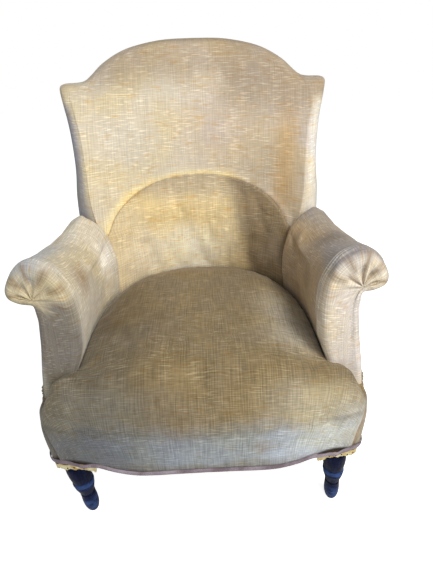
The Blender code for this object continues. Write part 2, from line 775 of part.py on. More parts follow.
def front_rail(finish):
    """Bowed front rail with the serpentine lower edge."""
    rings = []
    for k in range(15):
        x = between(-FRONT_RAIL_HALF, FRONT_RAIL_HALF, k / 14)
        y = front_y(x, FRONT_INSET)
        low = hem_z(x, y) + 0.002
        high = RAIL_Z + RAIL_HEIGHT
        rings.append([(x, y, low), (x, y + RAIL_THICK, low), (x, y + RAIL_THICK, high), (x, y, high)])
    return loft("front_rail", rings, finish, cap="flat", smooth=False)


def side_rail(finish):
    rings = []
    for k in range(8):
        y = between(ARM_FRONT_Y + GAP, 0.244, k / 7)
        outer = base_x(min(y, SIDE_END_Y), CLOTH + 2 * GAP + 0.0015) - 0.10 * max(0.0, y - SIDE_END_Y)
        inner = max(outer - RAIL_THICK, POST_INNER_X + POST_WIDE + GAP)
        rings.append([(inner, y, RAIL_Z), (outer, y, RAIL_Z), (outer, y, RAIL_Z + RAIL_HEIGHT), (inner, y, RAIL_Z + RAIL_HEIGHT)])
    return loft("side_rail_right", rings, finish, cap="flat", smooth=False)


def leg_block(finish):
    """Block that fills the front corner of the frame, with the leg fixed under it."""
    start = FRONT_RAIL_HALF + GAP
    back = ARM_FRONT_Y - 0.0036
    rim = [(start, back)]
    rim += [(x, front_y(x, FRONT_INSET)) for x in (start, 0.272, 0.292, 0.308, 0.318, 0.325)]
    rim.append((base_x(back, FRONT_INSET), back))
    sections = [[(x, y, z) for x, y in rim] for z in (RAIL_Z, RAIL_Z + RAIL_HEIGHT)]
    return loft("leg_block_right", sections, finish, cap="flat", smooth=False)


def cross_rail(name, face, low, height, thick, half, finish):
    """A straight rail between the posts, with its front on a face that leans with height."""
    corners = [(face(low), low), (face(low) + thick, low), (face(low + height) + thick, low + height), (face(low + height), low + height)]
    sections = [[(x, cy, cz) for cy, cz in corners] for x in (-half, half)]
    return beam(name, sections, finish)


def post_inner(z):
    return POST_INNER_X + table(z, ((0.60, 0.0), (0.72, 0.004), (0.85, 0.017)))


def rear_post(finish):
    """Back leg and back post in one swept piece, raked backwards at the foot."""
    rings = []
    for z in (0.0, 0.05, 0.10, 0.15, 0.19, 0.25, 0.32, 0.40, 0.50, 0.60, 0.70, 0.78, CREST_Z):
        x0 = post_inner(z)
        x1 = x0 + POST_WIDE
        front = web_y(z) + GAP
        rear = rear_y(x1, z) - CLOTH - 0.001
        push = POST_KICK * (1.0 - ease(z / 0.26))
        if z < 0.19:
            trim = 0.004 * (1.0 - z / 0.19)
            x0, x1 = x0 + trim, x1 - trim
            front, rear = front + push + trim, min(rear, front + 0.032) + push - trim
        elif z < 0.26:
            front += push * 0.4
        rings.append([(x0, front, z), (x1, front, z), (x1, rear, z), (x0, rear, z)])
    return beam("rear_post_right", rings, finish)


def arm_post(finish):
    rings = []
    for z in (RAIL_Z + RAIL_HEIGHT + GAP, 0.34, SEAT_EDGE_Z, 0.4745):
        front = arm_front_y(z) + 0.0275 + GAP
        outer = side_x(front, z) - CLOTH - 3 * GAP
        inner = PAD_BACK_X + 0.0006
        rings.append([(inner, front, z), (outer, front, z), (outer, front + 0.040, z), (inner, front + 0.040, z)])
    return beam("arm_post_right", rings, finish)


def arm_rail(finish):
    rings = []
    for k in range(7):
        y = between(arm_front_y(COVER_TOP_Z) + 0.0280, 0.255, k / 6)
        outer = side_x(min(y, SIDE_END_Y), 0.54) - CLOTH - 0.0010 - 0.12 * max(0.0, y - SIDE_END_Y)
        inner = table(y, ((0.05, PAD_BACK_X + 0.0006), (0.235, post_inner(0.544) + POST_WIDE + 0.001)))
        rings.append([(inner, y, 0.475), (outer, y, 0.475), (outer, y, 0.5440), (inner, y, 0.5440)])
    return loft("arm_rail_right", rings, finish, cap="flat", smooth=False)


def crest_rail(finish):
    """Board cut to the shoulders and hump, raked with the back."""
    outline = [(x * 0.925, z - 0.020) for x, z in spline([o for o in BACK_OUTER[4:]], 2)]
    low = CREST_Z + GAP
    start = [(0.0, low), (outline[0][0], low)]
    half = [*start, *[p for p in outline if p[1] > low + 0.003]]
    rings = []
    for depth in (0.0, BOARD):
        ring = []
        for x, z in whole_ring(half):
            y = rear_y(x, z) - CLOTH - 0.004 - BOARD + depth
            ring.append((x, y, z))
        rings.append(ring)
    return loft("crest_rail", rings, finish, cap="flat", smooth=False)


def corner_block(finish):
    """Triangular block glued into the rear corner of the seat frame."""
    x, y = POST_INNER_X - 0.0002, 0.2400
    spots = [(x, y), (x - 0.050, y), (x, y - 0.050)]
    sections = [[(a, b, z) for a, b in spots] for z in (RAIL_Z + 0.006, RAIL_Z + 0.050)]
    return loft("corner_block_right", sections, finish, cap="flat", smooth=False)


# Turned legs: radius against height, from the top down

LEG_PROFILE = (
    (0.0240, LEG_TOP_Z), (0.0250, 0.180), (0.0232, 0.173), (0.0252, 0.168), (0.0262, 0.156), (0.0258, 0.138),
    (0.0236, 0.120), (0.0218, 0.112), (0.0236, 0.108), (0.0240, 0.103), (0.0222, 0.099), (0.0226, 0.094),
    (0.0214, 0.088), (0.0178, 0.074), (0.0158, 0.066), (0.0170, 0.062), (0.0168, 0.056), (0.0176, 0.040),
    (0.0170, 0.022), (0.0140, 0.007), (0.0110, 0.0),
)


def front_leg(name, top_x, finish):
    """A turned leg, screwed from its profile and then sheared by its lean."""
    shape = bmesh.new()
    spots = [(0.0, LEG_PROFILE[0][1]), *LEG_PROFILE, (0.0, 0.0)]
    line = [shape.verts.new((r, 0.0, z)) for r, z in spots]
    for a, b in zip(line, line[1:]):
        shape.edges.new((a, b))
    bmesh.ops.spin(
        shape, geom=[*shape.verts, *shape.edges], cent=(0, 0, 0), axis=(0, 0, 1), angle=2 * math.pi, steps=16,
        use_merge=True,
    )
    bmesh.ops.remove_doubles(shape, verts=shape.verts, dist=0.00005)
    for v in shape.verts:
        v.co.x += LEG_LEAN * (1.0 - v.co.z / LEG_TOP_Z)
        v.co += Vector((top_x, LEG_Y, 0.0))
    return finished(shape, name, finish)


# Springs, webbing and canvas


def seat_spring(name, x, y, low, high, finish):
    """Waisted coil spring: wide at both ends, narrow in the middle."""
    curve = bpy.data.curves.new(name, "CURVE")
    curve.dimensions = "3D"
    curve.bevel_depth = SPRING_WIRE
    curve.bevel_resolution = 0
    curve.use_fill_caps = True
    count = SPRING_TURNS * SPRING_STEPS
    path = curve.splines.new("POLY")
    path.points.add(count)
    for k in range(count + 1):
        t = k / count
        angle = 2 * math.pi * SPRING_TURNS * t
        radius = between(SPRING_WAIST_R, SPRING_END_R, abs(2 * t - 1) ** 1.3)
        z = between(low + SPRING_WIRE, high - SPRING_WIRE, t)
        path.points[k].co = (x + radius * math.cos(angle), y + radius * math.sin(angle), z, 1.0)
    piece = bpy.data.objects.new(name, curve)
    piece.data.materials.append(finish)
    bpy.data.collections["armchair"].objects.link(piece)
    return piece


def strap_edges(low, high, straps, width):
    """Where the straps across a span begin and end, with the span's own ends."""
    pitch = (high - low) / straps
    middles = [low + pitch * (k + 0.5) for k in range(straps)]
    return [low, *[m + side * width / 2 for m in middles for side in (-1, 1)], high]


def webbing(name, across, along, place, finish):
    """Interlaced straps as one mat: a grid whose open cells are left out."""
    shape = bmesh.new()
    spots = [[shape.verts.new(place(u, v)) for u in across] for v in along]
    for j in range(len(along) - 1):
        for i in range(len(across) - 1):
            if i % 2 == 1 or j % 2 == 1:
                shape.faces.new((spots[j][i], spots[j][i + 1], spots[j + 1][i + 1], spots[j + 1][i]))
    loose = [v for v in shape.verts if not v.link_faces]
    bmesh.ops.delete(shape, geom=loose, context="VERTS")
    mesh = bpy.data.meshes.new(name)
    shape.to_mesh(mesh)
    shape.free()
    piece = add(name, mesh, finish)
    wall = piece.modifiers.new("thickness", "SOLIDIFY")
    wall.thickness = STRAP
    wall.offset = -1.0
    return piece


def seat_webbing(finish):
    across = strap_edges(-0.265, 0.265, 5, 0.050)
    along = strap_edges(-0.280, 0.252, 4, 0.050)

    def place(u, v):
        if v == along[0]:
            return u, front_y(u, FRONT_INSET) + RAIL_THICK + GAP, WEBBING_Z
        reach = base_x(min(v, SIDE_END_Y)) - 0.020
        return (math.copysign(reach, u) if abs(u) == across[-1] else u), v, WEBBING_Z

    return webbing("seat_webbing", across, along, place, finish)


def back_webbing(finish):
    across = strap_edges(-0.270, 0.270, 3, 0.050)
    along = strap_edges(0.362, 0.868, 4, 0.050)
    return webbing("back_webbing", across, along, lambda u, v: (u, web_y(v) - STRAP - 0.0002, v), finish)


def spring_canvas(finish):
    """Canvas tied over the springs, under the seat pad."""
    level = lambda z: (lambda x, y: z)
    low, high = 0.3353, 0.3372
    rings = [seat_ring(-0.026, level(z), z, well_offset=-0.018) for z in (low, high)]
    return loft("spring_canvas", rings, finish, cap="flat", smooth=False)


def build():
    for old in list(bpy.data.objects):
        bpy.data.objects.remove(old)
    parts = bpy.data.collections.new("armchair")
    bpy.context.scene.collection.children.link(parts)

    velvet = material("gold_velvet", (0.52, 0.40, 0.22), 0.85)
    ebony = material("ebonised_wood", (0.012, 0.013, 0.020), 0.28)
    beech = material("beech", (0.46, 0.31, 0.17), 0.60)
    jute = material("jute", (0.42, 0.31, 0.18), 0.95)
    steel = material("coppered_steel", (0.36, 0.22, 0.15), 0.45, 0.9)
    gimp = material("mauve_braid", (0.26, 0.18, 0.19), 0.90)
    calico = material("calico", (0.66, 0.58, 0.36), 0.95)

    seat_pad(velvet)
    back_pad(velvet)
    lumbar_pad(velvet)
    mirrored(arm_pad(velvet), "arm_pad_left")
    mirrored(outside_arm(velvet), "outside_arm_left")
    outside_back(velvet)
    base_braid(gimp)
    mirrored(torn_lining(calico), "torn_lining_left")

    front_rail(beech)
    mirrored(side_rail(beech), "side_rail_left")
    half = POST_INNER_X - 0.0002
    cross_rail("back_rail", lambda z: 0.2405, RAIL_Z, RAIL_HEIGHT, RAIL_THICK, half, beech)
    cross_rail("tie_rail", lambda z: web_y(z) + GAP, 0.345, 0.045, 0.022, half, beech)
    mirrored(rear_post(beech), "rear_post_left")
    mirrored(arm_post(beech), "arm_post_left")
    mirrored(arm_rail(beech), "arm_rail_left")
    mirrored(leg_block(beech), "leg_block_left")
    mirrored(corner_block(beech), "corner_block_left")
    crest_rail(beech)

    front_leg("front_leg_right", LEG_X[0], ebony)
    front_leg("front_leg_left", LEG_X[1], ebony)

    for row, y in enumerate((-0.205, -0.075, 0.055)):
        for column, x in enumerate((-0.150, 0.0, 0.150)):
            seat_spring(f"seat_spring_{row * 3 + column + 1}", x, y, WEBBING_Z + GAP, 0.3350, steel)
    seat_webbing(jute)
    spring_canvas(jute)
    back_webbing(jute)


build()
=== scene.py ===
import math

import bmesh
import bpy
from mathutils import Matrix, Vector, noise


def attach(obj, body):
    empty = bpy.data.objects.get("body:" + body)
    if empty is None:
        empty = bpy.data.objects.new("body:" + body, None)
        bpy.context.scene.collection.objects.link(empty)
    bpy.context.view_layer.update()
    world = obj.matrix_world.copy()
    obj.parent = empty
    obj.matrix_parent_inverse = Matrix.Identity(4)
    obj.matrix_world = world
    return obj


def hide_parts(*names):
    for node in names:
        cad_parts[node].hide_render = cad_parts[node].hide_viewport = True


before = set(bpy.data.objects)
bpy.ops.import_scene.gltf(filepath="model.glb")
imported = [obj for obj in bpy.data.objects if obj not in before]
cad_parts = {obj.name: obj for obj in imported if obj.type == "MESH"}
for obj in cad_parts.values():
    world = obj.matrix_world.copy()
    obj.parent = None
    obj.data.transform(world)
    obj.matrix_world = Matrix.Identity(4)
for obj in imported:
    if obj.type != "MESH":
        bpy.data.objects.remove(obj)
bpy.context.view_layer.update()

# %% [markdown]
# # A sagging old armchair
# The imported solids are the frame that everything hangs on. This script keeps their places and gives the chair its
# looks: covers that have slackened over their stuffing, pleated scrolls, a braid that has come loose, and worn,
# sun-bleached slub velvet, with some light and shade painted into its colours. Metres are used throughout, Z is up,
# and the chair faces -Y.


# %% [markdown]
# ## The view
# The photograph looks down at the chair by about 31 degrees, almost straight ahead, with a short lens and a slight
# roll. The camera is built from those three angles, so that the same numbers can be read off and changed.

# %% Camera
YAW, PITCH, ROLL = 0.02087, 0.53651, -0.03064
CAMERA_PLACE = (0.01926, -0.86901, 0.96041)
camera = bpy.data.objects.new("camera", bpy.data.cameras.new("camera"))
bpy.context.scene.collection.objects.link(camera)
camera.data.lens, camera.data.sensor_width = 25.505, 36.0
ahead = Vector((math.sin(YAW) * math.cos(PITCH), math.cos(YAW) * math.cos(PITCH), -math.sin(PITCH)))
level = Vector((math.cos(YAW), -math.sin(YAW), 0.0))
upward = level.cross(ahead)
right = level * math.cos(ROLL) + upward * math.sin(ROLL)
upward = upward * math.cos(ROLL) - level * math.sin(ROLL)
pose = Matrix((right, upward, -ahead)).transposed().to_4x4()
camera.matrix_world = Matrix.Translation(CAMERA_PLACE) @ pose
bpy.context.scene.camera = camera
bpy.context.scene.view_settings.view_transform = "Standard"
print("camera at", tuple(round(v, 3) for v in camera.location))


# %% [markdown]
# ## Finishes by short calls
# Every finish is built from noise, ranges and mixes. Finish holds a material while it is made, so that each of these
# is one call. Noise lies on the object's own coordinates, or over another vector such as the cloth's threads.

# %% Colours and finishes
def dye(red, green, blue):
    """A colour as it looks on a screen, 0 to 255, turned to the light it reflects."""
    shares = (c / 255.0 for c in (red, green, blue))
    return Vector([c / 12.92 if c < 0.0404 else ((c + 0.055) / 1.055) ** 2.4 for c in shares])


class Finish:
    """A material in the making."""

    def __init__(self, name):
        self.material = bpy.data.materials.new(name)
        self.material.use_nodes = True
        self.tree = self.material.node_tree
        self.place = self.node("TexCoord").outputs["Object"]

    def put(self, socket, value):
        if isinstance(value, bpy.types.NodeSocket):
            self.tree.links.new(value, socket)
        else:
            socket.default_value = value

    def node(self, kind, inputs=(), **settings):
        made = self.tree.nodes.new("ShaderNode" + kind)
        for key, value in settings.items():
            setattr(made, key, value)
        for key, value in dict(inputs).items():
            self.put(made.inputs[key], value)
        return made

    def attribute(self, name):
        return self.node("Attribute", attribute_name=name).outputs

    def axis(self, vector, index):
        return self.node("SeparateXYZ", {0: vector}).outputs[index]

    def maths(self, operation, a, b=0.0, c=None):
        inputs = {0: a, 1: b} if c is None else {0: a, 1: b, 2: c}
        return self.node("Math", inputs, operation=operation).outputs[0]

    def ranged(self, value, low, high, to_low=0.0, to_high=1.0):
        inputs = {0: value, 1: low, 2: high, 3: to_low, 4: to_high}
        return self.node("MapRange", inputs, interpolation_type="SMOOTHSTEP", clamp=True).outputs[0]

    def noise(self, scale, detail=2.0, rough=0.5, over=None):
        """Noise of scale cycles for each metre: one number, or three to stretch its grain."""
        scale = (scale,) * 3 if isinstance(scale, float) else scale
        grown = {0: self.place if over is None else over, 1: scale}
        grown = self.node("VectorMath", grown, operation="MULTIPLY").outputs[0]
        inputs = {"Vector": grown, "Scale": 1.0, "Detail": detail, "Roughness": rough}
        return self.node("TexNoise", inputs, noise_dimensions="3D").outputs[0]

    def blend(self, mode, factor, a, b):
        """Mixes two colours. Three numbers are a colour as on a screen, four are light."""
        a, b = ((*dye(*c), 1.0) if isinstance(c, tuple) and len(c) == 3 else c for c in (a, b))
        inputs = {0: factor, 6: a, 7: b}
        return self.node("Mix", inputs, data_type="RGBA", blend_type=mode, clamp_factor=True).outputs[2]

    def stained(self, base, where, low, high, colour, most=1.0):
        """Lays a colour over base where a value runs from low to high."""
        return self.blend("MIX", self.maths("MULTIPLY", self.ranged(where, low, high), most), base, colour)

    def finished(self, base, height=None, strength=0.5, distance=0.001, surface=()):
        """Joins colour, bump and the shader's other inputs, and returns the material."""
        inputs = self.tree.nodes["Principled BSDF"].inputs
        self.put(inputs["Base Color"], base)
        if height is not None:
            bump = self.node("Bump", {"Height": height, "Strength": strength, "Distance": distance})
            self.put(inputs["Normal"], bump.outputs[0])
        for key, value in dict(surface).items():
            self.put(inputs[key], value)
        return self.material


print("a middle grey reflects", round(dye(128, 128, 128)[0], 3))


# %% [markdown]
# ## Light and floor
# A large soft lamp hangs high in front and to the right, as a window would, and a weaker one in front fills the
# shadows. The white that the camera sees behind the chair, and the floor's glow, are only for the camera's own rays,
# so they add no light.

# %% Lamps, world and floor
def lamp(name, place, target, size, power, colour):
    made = bpy.data.objects.new(name, bpy.data.lights.new(name, "AREA"))
    bpy.context.scene.collection.objects.link(made)
    made.data.shape, made.data.size, made.data.energy, made.data.color = "SQUARE", size, power, colour
    made.location = place
    made.rotation_mode = "QUATERNION"
    made.rotation_quaternion = (Vector(target) - Vector(place)).to_track_quat("-Z", "Y")
    return made


lamp("window", (1.15, -1.25, 2.75), (0.0, 0.0, 0.45), 0.9, 58.0, (1.0, 0.985, 0.96))
lamp("front_fill", (0.9, -2.8, 1.6), (0.0, 0.1, 0.55), 1.6, 30.0, (1.0, 0.99, 0.97))

WHITE = (1.0, 1.0, 1.0, 1.0)
FLOOR_GLOW = 0.78
world = bpy.data.worlds.new("studio")
bpy.context.scene.world = world
world.use_nodes = True
sky = world.node_tree
lit, white = sky.nodes["Background"], sky.nodes.new("ShaderNodeBackground")
for background, colour, strength in ((lit, (0.86, 0.92, 1.0, 1.0), 0.33), (white, WHITE, 1.0)):
    background.inputs[0].default_value, background.inputs[1].default_value = colour, strength
path, choose = sky.nodes.new("ShaderNodeLightPath"), sky.nodes.new("ShaderNodeMixShader")
for k, source in enumerate((path.outputs["Is Camera Ray"], lit.outputs[0], white.outputs[0])):
    sky.links.new(source, choose.inputs[k])
sky.links.new(choose.outputs[0], sky.nodes["World Output"].inputs[0])

ground = bmesh.new()
bmesh.ops.create_grid(ground, x_segments=1, y_segments=1, size=7.0)
ground_mesh = bpy.data.meshes.new("floor")
ground.to_mesh(ground_mesh)
ground.free()
floor = bpy.data.objects.new("floor", ground_mesh)
bpy.context.scene.collection.objects.link(floor)
pale = Finish("pale_floor")
glow = pale.maths("MULTIPLY", pale.node("LightPath").outputs["Is Camera Ray"], FLOOR_GLOW)
matt = {"Roughness": 0.9, "Specular IOR Level": 0.1, "Emission Color": WHITE, "Emission Strength": glow}
floor.data.materials.append(pale.finished((0.93, 0.93, 0.93, 1.0), surface=matt))


# %% [markdown]
# ## Measures and curves
# An upholsterer works from a few templates: the outline of the seat, the rake of the back, the section of the arm.
# Here they are short tables, read through smooth curves, and every cover below is cut from them.

# %% Curves
def between(a, b, t):
    return a + (b - a) * t


def held(t):
    return max(0.0, min(1.0, t))


def ease(t):
    t = held(t)
    return t * t * (3.0 - 2.0 * t)


def hump(x, middle, reach):
    """One at the middle, falling smoothly to nothing at reach."""
    return ease(1.0 - abs(x - middle) / reach)


def table(x, rows):
    """Smooth curve through rows of (x, value), held flat beyond its ends."""
    if x <= rows[0][0]:
        return rows[0][1]
    if x >= rows[-1][0]:
        return rows[-1][1]
    slopes = []
    for i in range(len(rows)):
        before, after = rows[max(i - 1, 0)], rows[min(i + 1, len(rows) - 1)]
        slopes.append((after[1] - before[1]) / (after[0] - before[0]))
    i = next(k for k in range(len(rows) - 1) if x <= rows[k + 1][0])
    width = rows[i + 1][0] - rows[i][0]
    t = (x - rows[i][0]) / width
    return (
        rows[i][1] * (2 * t**3 - 3 * t**2 + 1)
        + slopes[i] * width * (t**3 - 2 * t**2 + t)
        + rows[i + 1][1] * (3 * t**2 - 2 * t**3)
        + slopes[i + 1] * width * (t**3 - t**2)
    )


def curve_at(points, t, closed=False):
    """Point at t, counted in points, on a smooth curve through them."""
    count = len(points)
    i = int(math.floor(t)) if closed else min(count - 2, max(0, int(t)))
    t -= i
    if closed:
        p, q, r, s = (points[(i + k) % count] for k in (-1, 0, 1, 2))
    else:
        p, q, r, s = (points[min(count - 1, max(0, i + k))] for k in (-1, 0, 1, 2))
    return tuple(
        0.5 * (2 * b + (c - a) * t + (2 * a - 5 * b + 4 * c - d) * t**2 + (3 * b - a - 3 * c + d) * t**3)
        for a, b, c, d in zip(p, q, r, s)
    )


def even_steps(points, steps, part=slice(0, 2)):
    """The line through points cut into equal steps, and its length, measured on part of their numbers."""
    lengths = [0.0]
    for a, b in zip(points, points[1:]):
        lengths.append(lengths[-1] + math.dist(a[part], b[part]))
    spaced, i = [], 0
    for k in range(steps + 1):
        want = lengths[-1] * k / steps
        while i < len(points) - 2 and lengths[i + 1] < want:
            i += 1
        t = held((want - lengths[i]) / max(1e-9, lengths[i + 1] - lengths[i]))
        spaced.append(tuple(between(a, b, t) for a, b in zip(points[i], points[i + 1])))
    return spaced, lengths[-1]


print("a curve through 0, 1, 4 passes 0.5 at", round(table(0.5, ((0, 0), (1, 1), (2, 4))), 3))

# %% Templates of the seat, the hem, the arms and the back
GAP = 0.0003
WELL_HALF_WIDTH, WELL_MIDDLE_Y, WELL_DEPTH, WELL_POWER = 0.250, -0.150, 0.333, 2.3
BASE_HALF_WIDTH, BASE_MIDDLE_Y, BASE_FRONT, FRONT_BOW, FRONT_POWER = 0.343, -0.155, 0.172, 0.030, 12.0
SIDE_TAPER, SIDE_END_Y, REAR_Y, REAR_BOW, REAR_CORNER_X = 0.022, 0.236, 0.285, 0.020, 0.304
HEM_FRONT = (
    (0.0, 0.194), (0.06, 0.192), (0.11, 0.188), (0.150, 0.187), (0.190, 0.194), (0.219, 0.204), (0.245, 0.213),
    (0.262, 0.216), (0.285, 0.213), (0.305, 0.207), (0.338, 0.200),
)
HEM_REAR_Z = 0.199
ARM_FRONT_Y, JOINT_Y = -0.250, 0.055
SEAT_EDGE_Z, SEAT_TUCK_Z, SEAT_UNDER_Z, SEAT_CROWN, SEAT_BULGE = 0.410, 0.318, 0.338, 0.030, 0.012
ARCH_HALF_WIDTH, ARCH_BASE_Z, ARCH_RISE = 0.222, 0.550, 0.126
COVER_TOP_Z = 0.5440


def well_y(x):
    part = min(1.0, abs(x) / WELL_HALF_WIDTH)
    return WELL_MIDDLE_Y + WELL_DEPTH * (1.0 - part**WELL_POWER) ** (1.0 / WELL_POWER)


def well_x(y):
    part = held((y - WELL_MIDDLE_Y) / WELL_DEPTH)
    return WELL_HALF_WIDTH * (1.0 - part**WELL_POWER) ** (1.0 / WELL_POWER)


def front_y(x, inset=0.0):
    part = min(1.0, abs(x) / (BASE_HALF_WIDTH - inset))
    reach = BASE_FRONT - inset - FRONT_BOW * part**2
    return BASE_MIDDLE_Y - reach * (1.0 - part**FRONT_POWER) ** (1.0 / FRONT_POWER)


def base_x(y, inset=0.0):
    if y >= BASE_MIDDLE_Y:
        part = (y - BASE_MIDDLE_Y) / (SIDE_END_Y - BASE_MIDDLE_Y)
        return BASE_HALF_WIDTH - inset - SIDE_TAPER * part**2
    low, high = 0.0, BASE_HALF_WIDTH - inset
    for _ in range(30):
        middle = (low + high) / 2
        low, high = (middle, high) if front_y(middle, inset) < y else (low, middle)
    return low


def hem_z(x, y):
    return between(table(abs(x), HEM_FRONT), HEM_REAR_Z, ease((y + 0.262) / 0.05))


def hanging(x, y):
    """How far the glue has failed: one where the braid hangs free over the front legs."""
    if y > -0.24:
        return 0.0
    return max(hump(x, 0.266, 0.052), 0.9 * hump(x, -0.262, 0.040))


def joint_y(z):
    return JOINT_Y + 0.12 * max(0.0, z - SEAT_EDGE_Z)


def arm_front_y(z):
    return ARM_FRONT_Y + 0.10 * max(0.0, z - SEAT_EDGE_Z)


LEAN = ((0.19, 0.0), (0.30, 0.003), (0.35, 0.009), (0.394, 0.018), (0.43, 0.025), (0.49, 0.035), (0.54, 0.040))


def side_x(y, z):
    return base_x(y) - table(z, LEAN) * between(1.0, 0.25, ease((y + 0.12) / 0.26))


RAKE = ((0.19, 0.0), (0.45, 0.004), (0.70, 0.030), (0.97, 0.066))


def rear_y(x, z):
    return REAR_Y + table(z, RAKE) - REAR_BOW * (abs(x) / 0.30) ** 2


BACK_CENTRE = ((0.62, 0.176), (0.70, 0.188), (0.78, 0.209), (0.86, 0.240), (0.92, 0.265), (0.97, 0.292))
WING_Y = ((0.56, 0.076), (0.635, 0.096), (0.71, 0.132), (0.795, 0.182), (0.87, 0.238), (0.98, 0.295))
WING_X = ((0.56, 0.243), (0.635, 0.261), (0.71, 0.269), (0.795, 0.281), (0.87, 0.305))


def back_front_y(x, z):
    centre = table(z, BACK_CENTRE)
    curl = centre - table(z, WING_Y)
    return max(centre - curl * min(1.1, abs(x) / table(z, WING_X)) ** 2.6, joint_y(z) + GAP)


def lumbar_front_y(x, z):
    upper = 0.163 - 0.088 * (abs(x) / 0.245) ** 2.4
    rise = ease((z - SEAT_EDGE_Z) / (ARCH_BASE_Z - SEAT_EDGE_Z))
    swell = 0.012 * math.sin(math.pi * held((z - SEAT_EDGE_Z) / 0.25))
    y = between(well_y(x) + GAP, upper, rise) - swell + 0.045 * max(0.0, z - ARCH_BASE_Z)
    return max(y, joint_y(z) + GAP) if z > SEAT_EDGE_Z else max(well_y(x) + GAP, joint_y(z) + GAP)


def web_y(z):
    return 0.232 + 0.098 * (z - 0.400)


print("the seat is", round(2 * WELL_HALF_WIDTH, 3), "m between the arms")
print("the hem is", round(2 * BASE_HALF_WIDTH, 3), "m wide")


# %% [markdown]
# ## How a cover is cut and stuffed
# Each cover starts as a flat grid of squares, as cloth does, and every corner is carried to its place on the chair.
# A grid keeps the run of the threads: its "thread" attribute holds where each point lay on the flat cloth, across
# and along, in metres, and the weave is drawn from that. Then the closed cover is blown up a little as real cloth,
# with its tucked edges held, so that it settles slack and uneven over the stuffing.

# %% Cutting and closing covers
def cloth_grid(columns, rows, place, closed=False):
    """A grid whose corners place(s, t) puts in space; place also says where they were on the flat cloth."""
    shape = bmesh.new()
    thread = shape.verts.layers.float_vector.new("thread")
    bmesh.ops.create_grid(shape, x_segments=columns, y_segments=rows, size=0.5)
    for v in shape.verts:
        spot, flat = place(v.co.x + 0.5, v.co.y + 0.5)
        v.co, v[thread] = Vector(spot), Vector((flat[0], flat[1], 0.0))
    if closed:
        bmesh.ops.remove_doubles(shape, verts=shape.verts, dist=0.00002)
    return shape


def close_ends(shape):
    """Fills what is still open with small faces, and turns every face outwards."""
    bmesh.ops.holes_fill(shape, edges=[e for e in shape.edges if e.is_boundary], sides=0)
    bmesh.ops.triangulate(shape, faces=[f for f in shape.faces if len(f.verts) > 4])
    bmesh.ops.recalc_face_normals(shape, faces=shape.faces)


def turned_in(shape, steps, move):
    """Extrudes the open edge for each of steps, calls move(point, step) on the new points, and closes it."""
    rim = [e for e in shape.edges if e.is_boundary]
    for step in steps:
        grown = bmesh.ops.extrude_edge_only(shape, edges=rim)["geom"]
        for v in (g for g in grown if isinstance(g, bmesh.types.BMVert)):
            move(v, step)
        rim = [g for g in grown if isinstance(g, bmesh.types.BMEdge) and g.is_boundary]
    close_ends(shape)


def piece_from(shape, name, finish):
    mesh = bpy.data.meshes.new(name)
    shape.to_mesh(mesh)
    shape.free()
    mesh.shade_smooth()
    mesh.materials.append(finish)
    made = bpy.data.objects.new(name, mesh)
    bpy.context.scene.collection.objects.link(made)
    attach(made, "root")
    return made


def lumps(p, size, seed=0.0):
    """Soft unevenness of old stuffing, between -1 and 1, the same at every run."""
    return noise.noise(Vector(p) / size + Vector((seed, seed * 0.7, -seed)))


# %% Letting a cover settle
CLOTH_FRAMES, CLOTH_PRESSURE = 20, 3.0


def settle(piece, hold, spare, reach):
    """Runs the cover as cloth with pressure inside, hold(p) from 0 free to 1 tacked down, and keeps the result."""
    rest = [v.co.copy() for v in piece.data.vertices]
    tacked = piece.vertex_groups.new(name="tacked")
    for i, p in enumerate(rest):
        tacked.add([i], held(hold(p)), "REPLACE")
    cloth = piece.modifiers.new("cloth", "CLOTH")
    way = cloth.settings
    way.quality, way.mass, way.air_damping = 6, 0.3, 4.0
    way.tension_stiffness = way.compression_stiffness = 20.0
    way.shear_stiffness, way.bending_stiffness = 8.0, 1.5
    way.use_pressure, way.uniform_pressure_force = True, CLOTH_PRESSURE
    way.vertex_group_mass, way.pin_stiffness = "tacked", 1.0
    way.shrink_min = -spare
    way.effector_weights.gravity = 0.0
    cloth.collision_settings.use_collision = False
    cloth.point_cache.frame_start, cloth.point_cache.frame_end = 1, CLOTH_FRAMES
    scene = bpy.context.scene
    for frame_number in range(1, CLOTH_FRAMES + 1):
        scene.frame_set(frame_number)
    settled = piece.evaluated_get(bpy.context.evaluated_depsgraph_get())
    moved = [v.co.copy() for v in settled.data.vertices]
    most = 0.0
    for v, a, b in zip(piece.data.vertices, rest, moved):
        step = b - a
        far = step.length
        most = max(most, far)
        v.co = a + step * (reach * math.tanh(far / reach) / far if far > 1e-9 else 0.0)
    piece.modifiers.remove(cloth)
    piece.vertex_groups.remove(tacked)
    scene.frame_set(1)
    piece.data.update()
    print(piece.name, "settled by at most", round(most * 1000, 1), "mm, held to", round(reach * 1000), "mm")


def dress(piece, depth, colour, grain=1.0):
    """Presses each point along its normal by depth(p, flat), dyes it with colour(p, flat), and rounds the piece.

    flat is the point's place on the cloth, and grain, the strength of the weave, goes with the dye. The dye holds
    painted light and shade as well as the cloth's own colour."""
    layer = piece.data.color_attributes.new("dye", "FLOAT_COLOR", "POINT")
    flats = [f.vector.copy() for f in piece.data.attributes["thread"].data]
    normals = [v.normal.copy() for v in piece.data.vertices]
    for v, n, f in zip(piece.data.vertices, normals, flats):
        v.co += n * depth(v.co, f)
    piece.data.update()
    for v, f, spot in zip(piece.data.vertices, flats, layer.data):
        spot.color = (*colour(v.co, f), grain)
    rounder = piece.modifiers.new("rounder", "SUBSURF")
    rounder.levels = rounder.render_levels = 1
